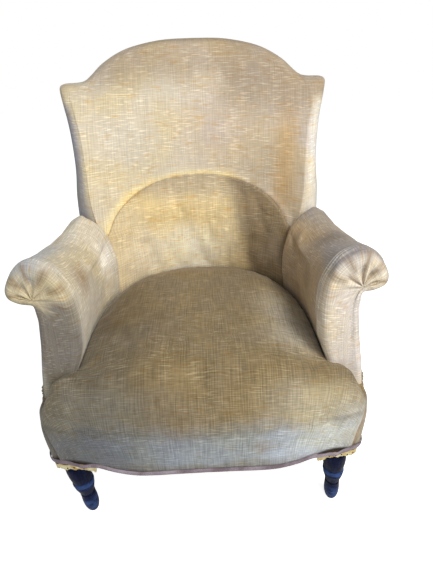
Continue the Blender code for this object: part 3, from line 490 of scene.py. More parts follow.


# %% [markdown]
# ## Slub velvet
# The cover is a cotton velvet with slubs: thick places in the yarn that catch the light as short dashes across the
# cloth. Between them the rubbed pile shows fine ribs, along and across, that waver and fade. All of it is drawn on
# the thread attribute, so the weave turns with the cloth. The dye comes from the "dye" attribute, painted per
# piece, because sun and hands have changed it from place to place, and it carries painted light and shade too. Its
# alpha holds how strong the weave shows.

# %% The velvet
def slub_velvet():
    made = Finish("gold_slub_velvet")
    maths, ranged, blend = made.maths, made.ranged, made.blend
    dyed = made.attribute("dye")
    waver = made.noise(14.0, 1.0)
    drift = made.node("CombineXYZ", {0: waver, 1: waver}).outputs[0]
    drift = made.node("VectorMath", {0: drift, 1: (0.004, 0.004, 0.0)}, operation="MULTIPLY").outputs[0]
    yarn = {0: made.attribute("thread")["Vector"], 1: drift}
    yarn = made.node("VectorMath", yarn, operation="ADD").outputs[0]

    def ribs(axis, pitch, wander, lengthen):
        """Fine parallel ribs that waver and fade in places, between -1 and 1."""
        off = maths("MULTIPLY", made.noise(lengthen, over=yarn), wander)
        turn = maths("MULTIPLY_ADD", made.axis(yarn, axis), 2 * math.pi / pitch, off)
        fading = made.noise(tuple(1.7 * v for v in lengthen), 1.0, over=yarn)
        return maths("MULTIPLY", maths("SINE", turn), ranged(fading, 0.35, 0.65, 0.25, 1.0))

    stripe = ribs(0, 0.0054, 15.0, (60.0, 6.0, 0.0))
    cross = ribs(1, 0.0044, 18.0, (24.0, 90.0, 3.0))
    warp = made.noise((420.0, 16.0, 0.0), 1.0, over=yarn)
    slub = made.noise((36.0, 370.0, 7.0), 1.0, over=yarn)
    crowd, rubbed, cast = made.noise(14.0), made.noise(30.0, 4.0, 0.6), made.noise(9.0, 3.0)
    dashes = maths("MULTIPLY", ranged(slub, 0.54, 0.66), ranged(crowd, 0.34, 0.60, 0.35, 1.0))
    grain = maths("ADD", maths("MULTIPLY", stripe, 0.07), maths("MULTIPLY", cross, 0.11))
    for noise_in, most in ((warp, 0.10), (rubbed, 0.06)):
        grain = maths("ADD", grain, ranged(noise_in, 0.3, 0.7, -most, most))
    value = maths("MULTIPLY_ADD", grain, dyed["Alpha"], 1.0)
    red = maths("MULTIPLY", value, ranged(cast, 0.34, 0.66, 0.975, 1.025))
    blue = maths("MULTIPLY", value, ranged(cast, 0.34, 0.66, 1.08, 0.90))
    shade = made.node("CombineColor", {0: red, 1: value, 2: blue}).outputs[0]
    base = blend("MULTIPLY", 1.0, dyed["Color"], shade)
    amber = blend("MULTIPLY", 1.0, base, (0.96, 0.78, 0.52, 1.0))
    warm = made.stained(base, made.noise((30.0, 120.0, 11.0), over=yarn), 0.54, 0.70, amber, 0.60)
    bright = blend("MULTIPLY", 1.0, base, (1.32, 1.34, 1.34, 1.0))
    bright = blend("ADD", 1.0, bright, (0.045, 0.043, 0.036, 1.0))
    final = blend("MIX", maths("MULTIPLY", dashes, 0.85), warm, bright)
    height = maths("ADD", maths("MULTIPLY", stripe, 0.12), maths("MULTIPLY", cross, 0.12))
    height = maths("ADD", height, maths("MULTIPLY", dashes, 0.45))
    surface = {"Roughness": 0.92, "Specular IOR Level": 0.15}
    surface |= {"Sheen Weight": 0.22, "Sheen Roughness": 0.45, "Sheen Tint": (1.0, 0.96, 0.88, 1.0)}
    return made.finished(final, height, 0.30, 0.0012, surface)


velvet = slub_velvet()
print(velvet.name, "has", len(velvet.node_tree.nodes), "nodes")


# %% [markdown]
# ## The dyes and the painted light
# Once the whole chair was old gold. The back has bleached to cream and beige, partly as painted light, the lumbar
# panel has kept the most colour, the seat has rubbed and soiled to olive brown, and its front border has turned a
# cold grey, partly as painted cool light. Light and shade are painted in too: the seat and its front are darker on
# the left as painted shade and paler on the right as painted light, the right arm throws a painted shadow on the
# lumbar panel, and joins, creases and pleats are darkened as painted shade.

# %% Painting by coats
CREAM_GOLD, BEIGE, OLD_GOLD = (209, 195, 168), (186, 171, 152), (218, 196, 152)
KHAKI, OLIVE, COLD_GREY = (128, 112, 84), (106, 92, 70), (142, 147, 150)
# Of these two, the dark one is used for real dirt and also for painted shade where parts meet; the pale one for
# bleached wear and also for painted light on lit edges.
SOIL_AND_SHADE, BLEACHED_AND_LIT = (104, 92, 72), (232, 226, 214)


def coated(colour, *coats):
    """Lays coats, each (colour, amount), over a first colour. A bare number as colour darkens what is there."""
    colour = dye(*colour)
    for coat, amount in coats:
        coat = colour * coat if isinstance(coat, float) else dye(*coat) if isinstance(coat, tuple) else coat
        colour = colour.lerp(coat, held(amount))
    return colour


def blot(p, middle, reach):
    """How much of a patch is at p, be it wear, a stain or painted shade: one in its middle, nothing beyond reach."""
    return ease(1.0 - (Vector(p) - Vector(middle)).length / reach)


def arch_away(x, z):
    """How far above the arched seam a point is, in metres, roughly."""
    if z < ARCH_BASE_Z - 0.02:
        return 1.0
    return (math.hypot(x / ARCH_HALF_WIDTH, (z - ARCH_BASE_Z) / ARCH_RISE) - 1.0) * ARCH_RISE


# %% Dyes and painted light and shade of the back, the lumbar panel and the seat
def back_dye_and_painted_light(p, f):
    x, y, z = p
    streak = hump(x, 0.225 + 0.10 * (z - 0.75), 0.045) * ease((0.95 - z) / 0.1) * ease((z - 0.58) / 0.05)
    beyond = abs(x) - table(z, WING_X)
    wing = ease((0.86 - z) / 0.03)
    c = coated(
        CREAM_GOLD,
        (BEIGE, ease((x + 0.04) / 0.22)),
        ((198, 178, 156), 0.7 * blot(p, (0.05, 0.20, 0.79), 0.17)),
        ((184, 152, 106), 0.65 * streak),
        ((168, 150, 128), 0.85 * ease((z - 0.85 + 0.02 * lumps(p, 0.07, 2.0)) / 0.08)),
        # The upper right is darker as painted shade where the back curves forward into the right wing.
        ((160, 142, 118), 0.8 * ease((x - 0.02) / 0.10) * ease((z - 0.78) / 0.08)),
        # The right wing's outer edge is paler as painted light, and the left wing's outer edge grey as painted shade.
        (BLEACHED_AND_LIT, 0.6 * ease((beyond + 0.008) / 0.016) * wing * ease(x / 0.1)),
        ((146, 146, 160), 0.75 * ease((beyond - 0.004) / 0.012) * wing * ease(-x / 0.1)),
        (SOIL_AND_SHADE, 0.45 * ease((z - 0.945) / 0.03) * ease((y - 0.29) / 0.02)),
        # A pale golden band just above the arched seam is a painted highlight on its rim, left off towards the shaded
        # right.
        ((236, 216, 160), 0.85 * hump(arch_away(x, z), 0.002, 0.019) * ease((0.16 - x) / 0.1)),
        (COLD_GREY, 0.75 * ease((y - (back_front_y(x, min(z, 0.95)) + 0.045)) / 0.03)),
    )
    return c * (1.0 + 0.05 * lumps(p, 0.11, 3.0))


def lumbar_dye_and_painted_light(p, f):
    x, y, z = p
    c = coated(
        OLD_GOLD,
        # The lower middle is paler as painted light from the front.
        ((255, 248, 226), ease((0.58 - z) / 0.09) * hump(x, -0.03, 0.19)),
        ((188, 168, 134), 0.85 * ease((z - 0.615) / 0.04)),
        # The right side is darker as the painted shadow of the right arm.
        ((130, 112, 88), 0.9 * ease((x - 0.085 + 0.2 * (z - 0.50)) / 0.06)),
        (SOIL_AND_SHADE, 0.12 * hump(arch_away(x, z), 0.0, 0.009)),
        # Darker at the bottom, where the panel meets the seat: partly dirt, partly painted shade.
        (SOIL_AND_SHADE, 0.5 * ease((0.425 - z) / 0.03)),
    )
    return c * (1.0 + 0.06 * lumps(p, 0.07, 5.0))


def seat_dye_and_painted_light(p, f):
    x, y, z = p
    # The seat is painted paler on its right as painted light and darker on its left as painted shade.
    front, left, right = ease((-0.275 - y) / 0.05), ease((-x - 0.04) / 0.18), ease((x - 0.06) / 0.18)
    painted_sunlight = ease((x - 0.09) / 0.12) * ease((0.02 - y) / 0.1) * ease((y + 0.26) / 0.08)
    # The front border's cold grey is partly painted cool light, darker on the left as painted shade and paler on the
    # right as painted light.
    grey = coated(
        COLD_GREY, ((94, 97, 102), ease((-x - 0.02) / 0.22)), ((190, 196, 200), ease((x - 0.05) / 0.2)),
    )
    uneven = 0.345 + 0.020 * lumps(p, 0.10, 8.0) + 0.008 * lumps(p, 0.03, 3.0)
    crease = hump(z, 0.322 + 0.006 * lumps(p, 0.12, 2.0), 0.011) * ease(0.55 + 0.9 * lumps(p, 0.09, 6.0))
    edge = min(well_x(y) - abs(x), well_y(x) - y) if y > -0.235 else 1.0
    # Where the braid hangs loose, the strip of cover behind it is darkened: partly the bared, frayed edge and partly
    # painted shade in the gap.
    bared_and_shaded = ease((hanging(x, y) - 0.15) / 0.3) * ease((hem_z(x, y) + 0.0085 - z) / 0.003)
    c = coated(
        KHAKI,
        # Darker olive and grey on the left are partly painted shade; the paler patch on the right is painted light.
        (OLIVE, ease((-x - 0.02) / 0.2)),
        ((180, 170, 148), 0.75 * painted_sunlight),
        ((116, 111, 100), 0.45 * ease((-x - 0.08) / 0.12) * ease((-0.10 - y) / 0.1)),
        ((122, 100, 66), 0.55 * ease((y - 0.04) / 0.1)),
        # On the front roll the right is paler as painted light and the left darker as painted shade.
        ((186, 174, 144), 0.75 * front * right),
        ((112, 110, 102), 0.7 * front * left),
        (grey, 0.95 * ease((uneven + 0.02 - z) / 0.09) * front),
        # A darker line along the crease below the roll is a painted shadow.
        (0.5, 0.7 * crease * front),
        ((126, 104, 80), 0.5 * blot(p, (0.115, -0.32, 0.262), 0.035)),
        # The valleys of the corner pleats are darkened as painted shade, much darker at the shaded left corner.
        ((132, 92, 62) if x > 0 else (60, 52, 46), 0.7 * corner_fold(p)[0]),
        # A near black band where the seat meets the arms and the back is painted shade.
        ((26, 20, 14), 0.9 * ease((0.0075 - edge) / 0.005)),
        (SOIL_AND_SHADE, 0.4 * ease((0.222 - z) / 0.012) * front),
        ((46, 34, 24), 0.9 * bared_and_shaded),
    )
    return c * (1.0 + 0.06 * lumps(p, 0.08, 1.0))


# %% Dyes and painted light and shade of the arms and the outsides
LEFT_ARM, RIGHT_ARM = (196, 184, 160), (182, 160, 132)
WORN_RIDGES = (0.007, 0.0155, 0.024)


def worn_ridge(k, line, f):
    """Middle of one of the ridges that wear has raised along an arm's front edge."""
    return line + 0.002 * math.sin(f[1] * 16 + k)


def worn_length(f):
    return ease((f[1] - 0.10) / 0.06) * ease((0.36 - f[1]) / 0.05)


def arm_dye_and_painted_light(side):
    def colour(p, f):
        x, y, z = p[0] * side, p[1], p[2]
        spot = (x, y, z)
        scroll = ease((z - 0.555) / 0.02)
        if side < 0:
            lip = ease((-0.235 - y) / 0.01) * hump(x, 0.322, 0.018) * (1.0 - scroll)
            first, coats = LEFT_ARM, [
                (CREAM_GOLD, ease((y + 0.05) / 0.1)),
                (BLEACHED_AND_LIT, 0.7 * blot(spot, (0.235, 0.02, 0.52), 0.07)),
                ((150, 120, 84), 0.7 * blot(spot, (0.240, -0.14, 0.56), 0.055)),
                # The top of the left arm's roll is paler and greyer as a painted sheen.
                ((176, 178, 180), 0.8 * ease((z - 0.59) / 0.03) * ease((x - 0.27) / 0.03)),
                # The left arm's front is darkened as painted shade.
                ((108, 101, 92), 0.92 * ease((-0.200 - y) / 0.04) * (1.0 - 0.7 * scroll)),
                ((176, 170, 158), 0.7 * lip),
            ]
        else:
            first, coats = RIGHT_ARM, [
                ((148, 138, 130), ease((z - 0.575) / 0.03)),
                # Two darker patches on the inside of the right arm are painted shade.
                ((116, 100, 80), 0.75 * blot(spot, (0.27, -0.06, 0.60), 0.085)),
                ((116, 100, 80), 0.5 * blot(spot, (0.24, -0.10, 0.52), 0.05)),
                # The right arm's front is paler as painted light.
                ((208, 197, 183), 0.9 * ease((-0.218 - y) / 0.014)),
            ]
        part = (f[1] - arm_around[ROLL_FROM]) / (arm_around[ROLL_TO] - arm_around[ROLL_FROM])
        # The valleys between the gathers on the scroll are darkened as painted shade.
        pleat_valley_shade = pleat_wave(part) ** 2.5 * ease((-0.002 - f[0]) / 0.010) * ease((f[0] + 0.050) / 0.012)
        coats += [
            # The scroll fronts are paler on the right arm as painted light and darker on the left as painted shade.
            ((196, 182, 148) if side < 0 else (214, 202, 178), 0.5 * ease((-0.222 - y) / 0.01) * scroll),
            ((124, 98, 70), 0.65 * pleat_valley_shade * ease(part / 0.1) * ease((1 - part) / 0.1)),
            ((228, 210, 160), 0.7 * hump(z, 0.399, 0.005) * ease((-0.235 - y) / 0.01)),
        ]
        bare = (0.35 if side < 0 else 0.9) * worn_length(f)
        coats += [(BLEACHED_AND_LIT, bare * hump(f[0], worn_ridge(k, line, f), 0.0045)) for k, line in enumerate(WORN_RIDGES)]
        coats += [
            # Darker low down where the arm meets the seat: partly dirt, partly painted shade.
            (SOIL_AND_SHADE, 0.55 * ease((0.43 - z) / 0.02) * ease((y + 0.24) / 0.02)),
            (COLD_GREY, 0.6 * ease((x - 0.335) / 0.02)),
        ]
        return coated(first, *coats) * (1.0 + 0.05 * lumps(p, 0.06, 9.0))

    return colour


def outer_dye_and_painted_light(p, f):
    x, y, z = p
    near = ease((-0.12 - y) / 0.1) * ease((0.40 - z) / 0.04)
    c = coated(
        (196, 178, 140),
        ((172, 160, 136), ease(0.5 + lumps(p, 0.16, 4.0))),
        ((150, 146, 138), 0.7 * ease((0.30 + 0.02 * lumps(p, 0.09, 8.0) - z) / 0.07)),
        (SOIL_AND_SHADE, 0.35 * ease((0.225 - z) / 0.02)),
        # Low at the front, the outsides are darker on the left as painted shade and paler on the right as painted
        # light.
        ((104, 98, 88) if x < 0 else (182, 174, 156), 0.85 * near),
    )
    return c * (1.0 + 0.07 * lumps(p, 0.12, 11.0))


# %% [markdown]
# ## The seat
# Springs, hair and wadding make one domed pad with a rolled front, and its cover falls from the roll to the
# serpentine hem. It is cut as square rings, one inside another, each following the outline of the seat, so the
# crown has no pole. The rings come from the seat's profile: crown, edge, roll, border, hem.

# %% Seat outline and profile
def plan_normal(x, y, free):
    if free:
        part = x / BASE_HALF_WIDTH
        return Vector((part**5, -1.0 + abs(part) ** 9 * 0.75)).normalized()
    part = max(0.0, (y - WELL_MIDDLE_Y) / WELL_DEPTH)
    return Vector((1.0 - part**3, part**2)).normalized()


STEP_Y = ARM_FRONT_Y + 0.006


def seat_outline(steps):
    """Right half of the seat's outline, as (x, y, free), free 1 on the open front and 0 in the well."""
    half = []
    front = [BASE_HALF_WIDTH * math.sin(math.pi / 2 * k / 60) for k in range(60)]
    half += [(x, front_y(x), 1.0) for x in front if front_y(x) < STEP_Y - 0.003]
    half.append((base_x(STEP_Y), STEP_Y, 0.5))
    half.append((0.5 * (base_x(STEP_Y) + WELL_HALF_WIDTH), STEP_Y, 0.25))
    half.append((WELL_HALF_WIDTH, STEP_Y, 0.0))
    side = [between(ARM_FRONT_Y + 0.024, JOINT_Y, k / 8) for k in range(9)]
    half += [(well_x(y), y, 0.0) for y in side]
    last = half[-1][0]
    half += [(last * k, well_y(last * k), 0.0) for k in (0.87, 0.73, 0.58, 0.42, 0.22, 0.0)]
    return even_steps(half, steps)[0]


# each row: offset of the free front, its height (above the hem in rows marked so), height in the well, how far it
# shrinks to the middle, rise of the crown, waist in front of the arms, and one where the height counts from the hem
SEAT_PROFILE = (
    (-0.040, SEAT_EDGE_Z, SEAT_EDGE_Z, 1.00, SEAT_CROWN, 0.0, 0.0),
    (-0.040, SEAT_EDGE_Z, SEAT_EDGE_Z, 0.80, SEAT_CROWN, 0.0, 0.0),
    (-0.040, SEAT_EDGE_Z, SEAT_EDGE_Z, 0.50, SEAT_CROWN * 0.85, 0.0, 0.0),
    (-0.040, SEAT_EDGE_Z, SEAT_EDGE_Z, 0.22, SEAT_CROWN * 0.50, 0.0, 0.0),
    (-0.040, 0.408, SEAT_EDGE_Z, 0.04, 0.004, 0.0, 0.0),
    (-0.020, 0.396, SEAT_EDGE_Z - 0.004, 0.0, 0.0, 0.016, 0.0),
    (SEAT_BULGE * 0.25, 0.372, 0.396, 0.0, 0.0, 0.022, 0.0),
    (SEAT_BULGE, 0.340, 0.378, 0.0, 0.0, 0.012, 0.0),
    (SEAT_BULGE * 0.85, 0.305, 0.360, 0.0, 0.0, 0.006, 0.0),
    (0.003, 0.262, 0.345, 0.0, 0.0, 0.0, 0.0),
    (0.0, 0.016, 0.330, 0.0, 0.0, 0.0, 1.0),
    (0.0, 0.0, SEAT_TUCK_Z, 0.0, 0.0, 0.0, 1.0),
)

CHEEK_DROP = 0.016


def z_edge(z):
    """How near a height is to the top of the roll, where it sinks in front of the arms."""
    return held((z - 0.340) / 0.04)


def seat_point(spot, row):
    x, y, free = spot
    offset, free_z, well_z, shrink, rise, waist, on_hem = row
    sign = 1.0 if x >= 0 else -1.0
    x = abs(x)
    if free >= 0.5:
        n = plan_normal(x, y, True)
        if free <= 0.99:
            n = Vector((1.0, 0.0)).lerp(n, (free - 0.5) * 2)
        n = n * offset
        n.x = n.x * (0.2 if offset > 0.0 else 1.0) - waist * (x / BASE_HALF_WIDTH) ** 5
    else:
        n = Vector((0.0, 0.0))
    free_level = free_z + (hem_z(x, y) if on_hem else 0.0)
    cheek = ease((x - 0.215) / 0.045) * ease((y + 0.300) / 0.035) * z_edge(free_z) if free > 0.2 and not on_hem else 0.0
    z = between(well_z, free_level, ease(free * 2.0)) - (CHEEK_DROP + 0.22 * max(0.0, x - 0.27)) * cheek
    target_free = Vector((0.14 * x, -0.232))
    target_well = Vector((0.30 * x, max(-0.200, min(0.05, y))))
    target = target_well.lerp(target_free, ease(free * 2.0))
    if shrink > 0.8:
        target = target.lerp(Vector((0.0, -0.16)), (shrink - 0.8) * 5)
    here = Vector((x, y)) + n
    here = here.lerp(target, shrink)
    return here.x * sign, here.y, z + rise


RINGS = 60
OUTLINE_STEPS = 240
outline = seat_outline(OUTLINE_STEPS)
seat_plan = outline + [(-x, y, f) for x, y, f in reversed(outline[1:-1])]
key_rings = [[seat_point(s, row) for s in seat_plan] for row in SEAT_PROFILE]
ring_shares = (0.0, 0.10, 0.24, 0.38, 0.48, 0.54, 0.62, 0.70, 0.78, 0.87, 0.95, 1.0)
seat_columns = len(seat_plan)


def seat_dome(x, y):
    """Height of the sprung top over a point, the same whichever ring reaches it."""
    along = (-0.10 - y) / 0.222 if y < -0.10 else (y + 0.10) / 0.285
    return SEAT_EDGE_Z - 0.002 + (SEAT_CROWN + 0.002) * ease(1.0 - (abs(x) / 0.275) ** 3 - along**3)


def seat_place(s, t):
    a, b = 2 * s - 1, 2 * t - 1
    ring = max(abs(a), abs(b))
    if ring < 1e-9:
        around = 0.0
    elif abs(b) >= abs(a):
        around = (a / ring + 0.0) if b < 0 else 4.0 - a / ring
    else:
        around = 2.0 + b / ring if a > 0 else 6.0 - b / ring
    around = (around / 8.0) % 1.0 * seat_columns
    place_in = next(i for i in range(len(ring_shares) - 1) if ring <= ring_shares[i + 1] + 1e-9)
    u = place_in + (ring - ring_shares[place_in]) / (ring_shares[place_in + 1] - ring_shares[place_in])
    column = int(around) % seat_columns
    rest = around - int(around)
    low = curve_at([k[column] for k in key_rings], u)
    high = curve_at([k[(column + 1) % seat_columns] for k in key_rings], u)
    spot = tuple(between(p, q, rest) for p, q in zip(low, high))
    spot = (*spot[:2], between(spot[2], seat_dome(*spot[:2]), ease((0.53 - ring) / 0.14)))
    x, y, free = (between(p, q, rest) for p, q in zip(seat_plan[column], seat_plan[(column + 1) % seat_columns]))
    drop = max(0.0, SEAT_EDGE_Z - spot[2]) * ease(free * 2.0)
    n = plan_normal(abs(x), y, True)
    flat = (spot[0] + math.copysign(n.x, x) * drop, spot[1] + n.y * drop)
    return spot, flat


# %% Seat cover
def under_seat(v, step):
    """Turns the cover in under the seat, then up to the spring canvas."""
    inwards, rise = step
    v.co -= Vector((v.co.x, v.co.y + 0.05, 0.0)).normalized() * inwards
    v.co.z = max(v.co.z, min(v.co.z + rise, SEAT_UNDER_Z))


seat_shape = cloth_grid(2 * RINGS, 2 * RINGS, seat_place)
turned_in(seat_shape, ((0.010, 0.001), (0.004, 0.040)), under_seat)
seat = piece_from(seat_shape, "seat_cover", velvet)


def seat_hold(p):
    tucked = ease((0.30 - p.z) / 0.04) if p.y < -0.245 else ease((0.402 - p.z) / 0.006)
    in_well = ease((0.415 - p.z) / 0.01) if p.y > -0.245 else 0.0
    return max(tucked, in_well)


settle(seat, seat_hold, spare=0.012, reach=0.008)


def corner_fold(p):
    """Valley and ridge of the pleat where the border's cloth is folded over at each front corner."""
    if p.y > -0.24:
        return 0.0, 0.0
    tall = ease((0.345 - p.z) / 0.04) * ease((p.z - 0.200) / 0.015)
    lean = 0.322 + (p.z - 0.27) * 0.10
    return hump(abs(p.x), lean, 0.007) * tall, hump(abs(p.x), lean - 0.009, 0.009) * tall


def seat_press(p, f):
    amount = 0.0016 * lumps(p, 0.09, 2.0)
    if p.y < -0.24:
        crease = 0.344 - 0.042 * (1 - (min(abs(p.x), 0.283) / 0.283) ** 2)
        amount -= 0.0035 * hump(p.z, crease, 0.010) * ease((0.33 - abs(p.x)) / 0.04)
        fold = corner_fold(p)
        amount += 0.0030 * fold[1] - 0.0055 * fold[0]
    return amount


dress(seat, seat_press, seat_dye_and_painted_light, 1.5)
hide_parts("seat_pad")
print("seat cover:", len(seat.data.vertices), "points")


# %% [markdown]
# ## The arms
# An arm is one long roll over a straight inner face. At its front the cover is drawn over the edge and gathered in
# pleats to one point under the scroll. The sections are placed along the arm like ribs, and the front is closed by
# rings that shrink towards that point, with the pleats as folds in their depth.

# %% Arm sections
ARM_CAP = 0.024
EDGE_ROUND = 0.013
INNER_FRONT = ((0.0, SEAT_TUCK_Z), (0.0, SEAT_EDGE_Z), (-0.012, 0.447), (-0.018, 0.497), (-0.018, 0.545))
INNER_REAR = ((0.0, SEAT_TUCK_Z), (0.0, SEAT_EDGE_Z), (-0.003, 0.455), (-0.005, 0.497), (0.004, 0.540))
ROLL_FRONT = (
    (0.239, 0.590), (0.262, 0.624), (0.303, 0.642), (0.332, 0.623), (0.350, 0.593), (0.348, 0.573), (0.329, 0.561),
    (0.306, 0.557),
)
ROLL_REAR = (
    (0.226, 0.572), (0.250, 0.603), (0.281, 0.617), (0.306, 0.606), (0.318, 0.580), (0.312, 0.559), (0.300, 0.552),
    (0.291, 0.548),
)
ROLL_SAG = ((0.0, 0.0), (0.25, 0.016), (0.62, 0.024), (0.85, 0.014), (1.0, 0.0))
ROLL_SPREAD = ((0.0, 0.0), (0.25, 0.008), (0.62, 0.018), (0.85, 0.012), (1.0, 0.0))
KNOT = Vector((0.303, 0.571))
WALL_STEPS, ROLL_STEPS, SIDE_STEPS, FOOT_STEPS = 6, 5, 5, 8


def arm_section(t, covered):
    """Ring of (x, z) at share t along the arm. Its outer side shows if covered, else it lies behind the panel."""
    y = between(ARM_FRONT_Y + ARM_CAP, JOINT_Y, t)
    wall, drift = well_x(y) + GAP, ease(t)
    inner = [(wall + between(f[0], r[0], drift), between(f[1], r[1], drift)) for f, r in zip(INNER_FRONT, INNER_REAR)]
    roll = []
    for k, (f, r) in enumerate(zip(ROLL_FRONT, ROLL_REAR)):
        over = math.sin(math.pi * min(1.0, (k + 0.6) / 4.0) / 2)
        x = between(f[0], r[0], drift) + table(t, ROLL_SPREAD) * over
        roll.append((x, between(f[1], r[1], drift) - table(t, ROLL_SAG) * min(1.0, max(0.0, (7 - k) / 3))))
    ring = [tuple(between(a, b, k / WALL_STEPS) for a, b in zip(inner[0], inner[1])) for k in range(WALL_STEPS)]
    bent = [*inner[1:], *roll]
    ring += [curve_at(bent, k / ROLL_STEPS) for k in range((len(bent) - 1) * ROLL_STEPS + 1)]
    if covered:
        side = [(side_x(y, z) - GAP, z) for z in (0.525, 0.470, SEAT_EDGE_Z, SEAT_TUCK_Z)]
    else:
        side = [(between(0.278, 0.268, drift), z) for z in (COVER_TOP_Z + 0.0012, 0.47, SEAT_EDGE_Z, SEAT_TUCK_Z)]
    corners = [ring[-1], *side]
    foot = range(1, FOOT_STEPS)
    for a, b in zip(corners, corners[1:]):
        ring += [tuple(between(p, q, (k + 1) / SIDE_STEPS) for p, q in zip(a, b)) for k in range(SIDE_STEPS)]
    ring += [tuple(between(p, q, k / FOOT_STEPS) for p, q in zip(side[-1], inner[0])) for k in foot]
    return ring


ROLL_FROM = WALL_STEPS + 3 * ROLL_STEPS
ROLL_TO = WALL_STEPS + 11 * ROLL_STEPS
EDGE_RING, MEASURED_RING = 14, 20  # where the rounding of the front ends, and where the cloth is measured round


def drawn_in(ring, inset):
    count, moved = len(ring), []
    for i, (x, z) in enumerate(ring):
        (xa, za), (xb, zb) = ring[i - 1], ring[(i + 1) % count]
        dx, dz = xb - xa, zb - za
        size = math.hypot(dx, dz) or 1.0
        moved.append((x + inset * dz / size, z if z <= SEAT_EDGE_Z + 1e-6 else z - inset * dx / size))
    return moved


def pleat_wave(part):
    """One in the valleys between the gathers and nothing on their ridges, round the roll."""
    return 0.5 - 0.5 * math.cos(2 * math.pi * (6.5 * part + 0.25 + 0.04 * math.sin(9 * part)))


def pleat(i, shrink):
    """Depth of the gathers on the scroll: narrow valleys that run from the knot two thirds of the way out."""
    part = (i - ROLL_FROM) / (ROLL_TO - ROLL_FROM)
    if not 0.02 < part < 0.98:
        return 0.0
    wave = pleat_wave(part)
    grip = ease((shrink - 0.12) / 0.30) * (1.0 - 0.4 * ease((shrink - 0.80) / 0.2))
    return (0.0085 * wave**2.5 - 0.0022) * grip * ease(part / 0.1) * ease((1 - part) / 0.1)


def arm_rings():
    """Rings of (x, y, z) from the knot, over the front edge and along the arm, with the way travelled by the cloth."""
    start = arm_section(0.0, True)
    small = drawn_in(start, EDGE_ROUND)
    rings = []

    def shrunk(shrink):
        made = []
        for i, (x, z) in enumerate(small):
            rolled = ROLL_FROM <= i <= ROLL_TO
            target = KNOT if rolled else Vector((between(x, 0.284, 0.8), z if z < 0.5 else between(z, 0.5, 0.2)))
            here = Vector((x, z)).lerp(target, shrink)
            dip = pleat(i, shrink) if rolled else 0.0
            crown = 0.004 * (1.0 - ease(1.0 - shrink * 1.6)) * (1.0 if rolled else 0.4)
            made.append((here.x, arm_front_y(here.y) + dip + crown, here.y))
        return made

    for shrink in (0.93, 0.84, 0.74, 0.63, 0.52, 0.42, 0.32, 0.22, 0.13, 0.06, 0.0):
        rings.append(shrunk(shrink))
    for angle in (22, 45, 68, 90):
        turn = math.radians(angle)
        ring = drawn_in(start, EDGE_ROUND * (1 - math.sin(turn)))
        rings.append([(x, arm_front_y(z) + EDGE_ROUND * (1 - math.cos(turn)), z) for x, z in ring])
    for depth in (0.016, 0.020, ARM_CAP - 0.0005):
        rings.append([(x, arm_front_y(z) + depth, z) for x, z in start])
    stations = [0.0004, 0.012, 0.024, 0.036, 0.050, 0.066, 0.085] + [0.11 + 0.89 * k / 26 for k in range(27)]
    for t in stations:
        rings.append([(x, between(arm_front_y(z) + ARM_CAP, joint_y(z), t), z) for x, z in arm_section(t, False)])
    return rings


def arm_flats(rings):
    """How far each ring lies along the cloth, and each point round it, measured on the roll."""
    middle = (ROLL_FROM + ROLL_TO) // 2 - 4
    along = [0.0]
    for a, b in zip(rings, rings[1:]):
        along.append(along[-1] + math.dist(a[middle], b[middle]))
    edge = along[EDGE_RING]
    ring, around = rings[MEASURED_RING], [0.0]
    for a, b in zip(ring, [*ring[1:], ring[0]]):
        around.append(around[-1] + math.dist(a, b))
    return [a - edge for a in along], around


print("arm section has", len(arm_section(0.5, False)), "points")

# %% Both arms
arm_ribs = arm_rings()
arm_along, arm_around = arm_flats(arm_ribs)
ARM_ROWS, ARM_COLUMNS = len(arm_ribs) - 1, len(arm_ribs[0])


def arm_cover(name, side, node_name):
    def place(s, t):
        row, column = round(t * ARM_ROWS), round(s * ARM_COLUMNS)
        x, y, z = arm_ribs[row][column % ARM_COLUMNS]
        return (x * side, y, z), (arm_along[row], arm_around[column])

    shape = cloth_grid(ARM_COLUMNS, ARM_ROWS, place, closed=True)
    close_ends(shape)
    cover = piece_from(shape, name, velvet)

    def hold(p):
        x, y, z = abs(p.x), p.y, p.z
        face = ease((arm_front_y(z) + 0.012 - y) / 0.006)
        low = ease((0.435 - z) / 0.02)
        joint = ease((y - joint_y(z) + 0.012) / 0.010)
        under = ease((x - 0.266) / 0.004) * ease((0.566 - z) / 0.006)
        return max(face * 0.9, low, joint, under)

    settle(cover, hold, spare=0.012, reach=0.005)

    def folds(p, f):
        u, v = f[0], f[1]
        raised = 0.0
        for k, line in enumerate(WORN_RIDGES):
            raised += (0.4 if side < 0 else 1.0) * 0.0022 * hump(u, worn_ridge(k, line, f), 0.0040) * worn_length(f)
        slack = 0.0011 * lumps(p, 0.055, 6.0 + side) * ease((u - 0.01) / 0.03)
        wave = math.sin((v * 0.8 + u * 1.1) * 70.0 + 3.0 * lumps(p, 0.05, 2.0))
        drag = 0.0010 * wave * hump(u, 0.10, 0.10) * hump(v, 0.17, 0.10)
        return raised + slack + drag * (0.7 if side < 0 else 0.4)

    dress(cover, folds, arm_dye_and_painted_light(side))
    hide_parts(node_name)
    print(name, len(cover.data.vertices), "points")


arm_cover("arm_cover_left", -1.0, "arm_pad_left")
arm_cover("arm_cover_right", 1.0, "arm_pad_right")


# %% [markdown]
# ## The lumbar panel
# The lower back is stuffed separately and swells under the arched seam. Its cover is a grid whose rows get shorter
# towards the top of the arch. Along the seam it sinks a little, and it runs on under the edge of the upper cover.

# %% Lumbar cover
LUMBAR_HALF_WIDTH = 0.243
levels = [(between(SEAT_TUCK_Z + 0.014, 0.540, k / 22), LUMBAR_HALF_WIDTH) for k in range(23)]
for k in range(1, 30):
    angle = math.radians(between(9.0, 88.0, k / 29))
    levels.append((ARCH_BASE_Z + (ARCH_RISE + 0.003) * math.sin(angle), (ARCH_HALF_WIDTH + 0.003) * math.cos(angle)))


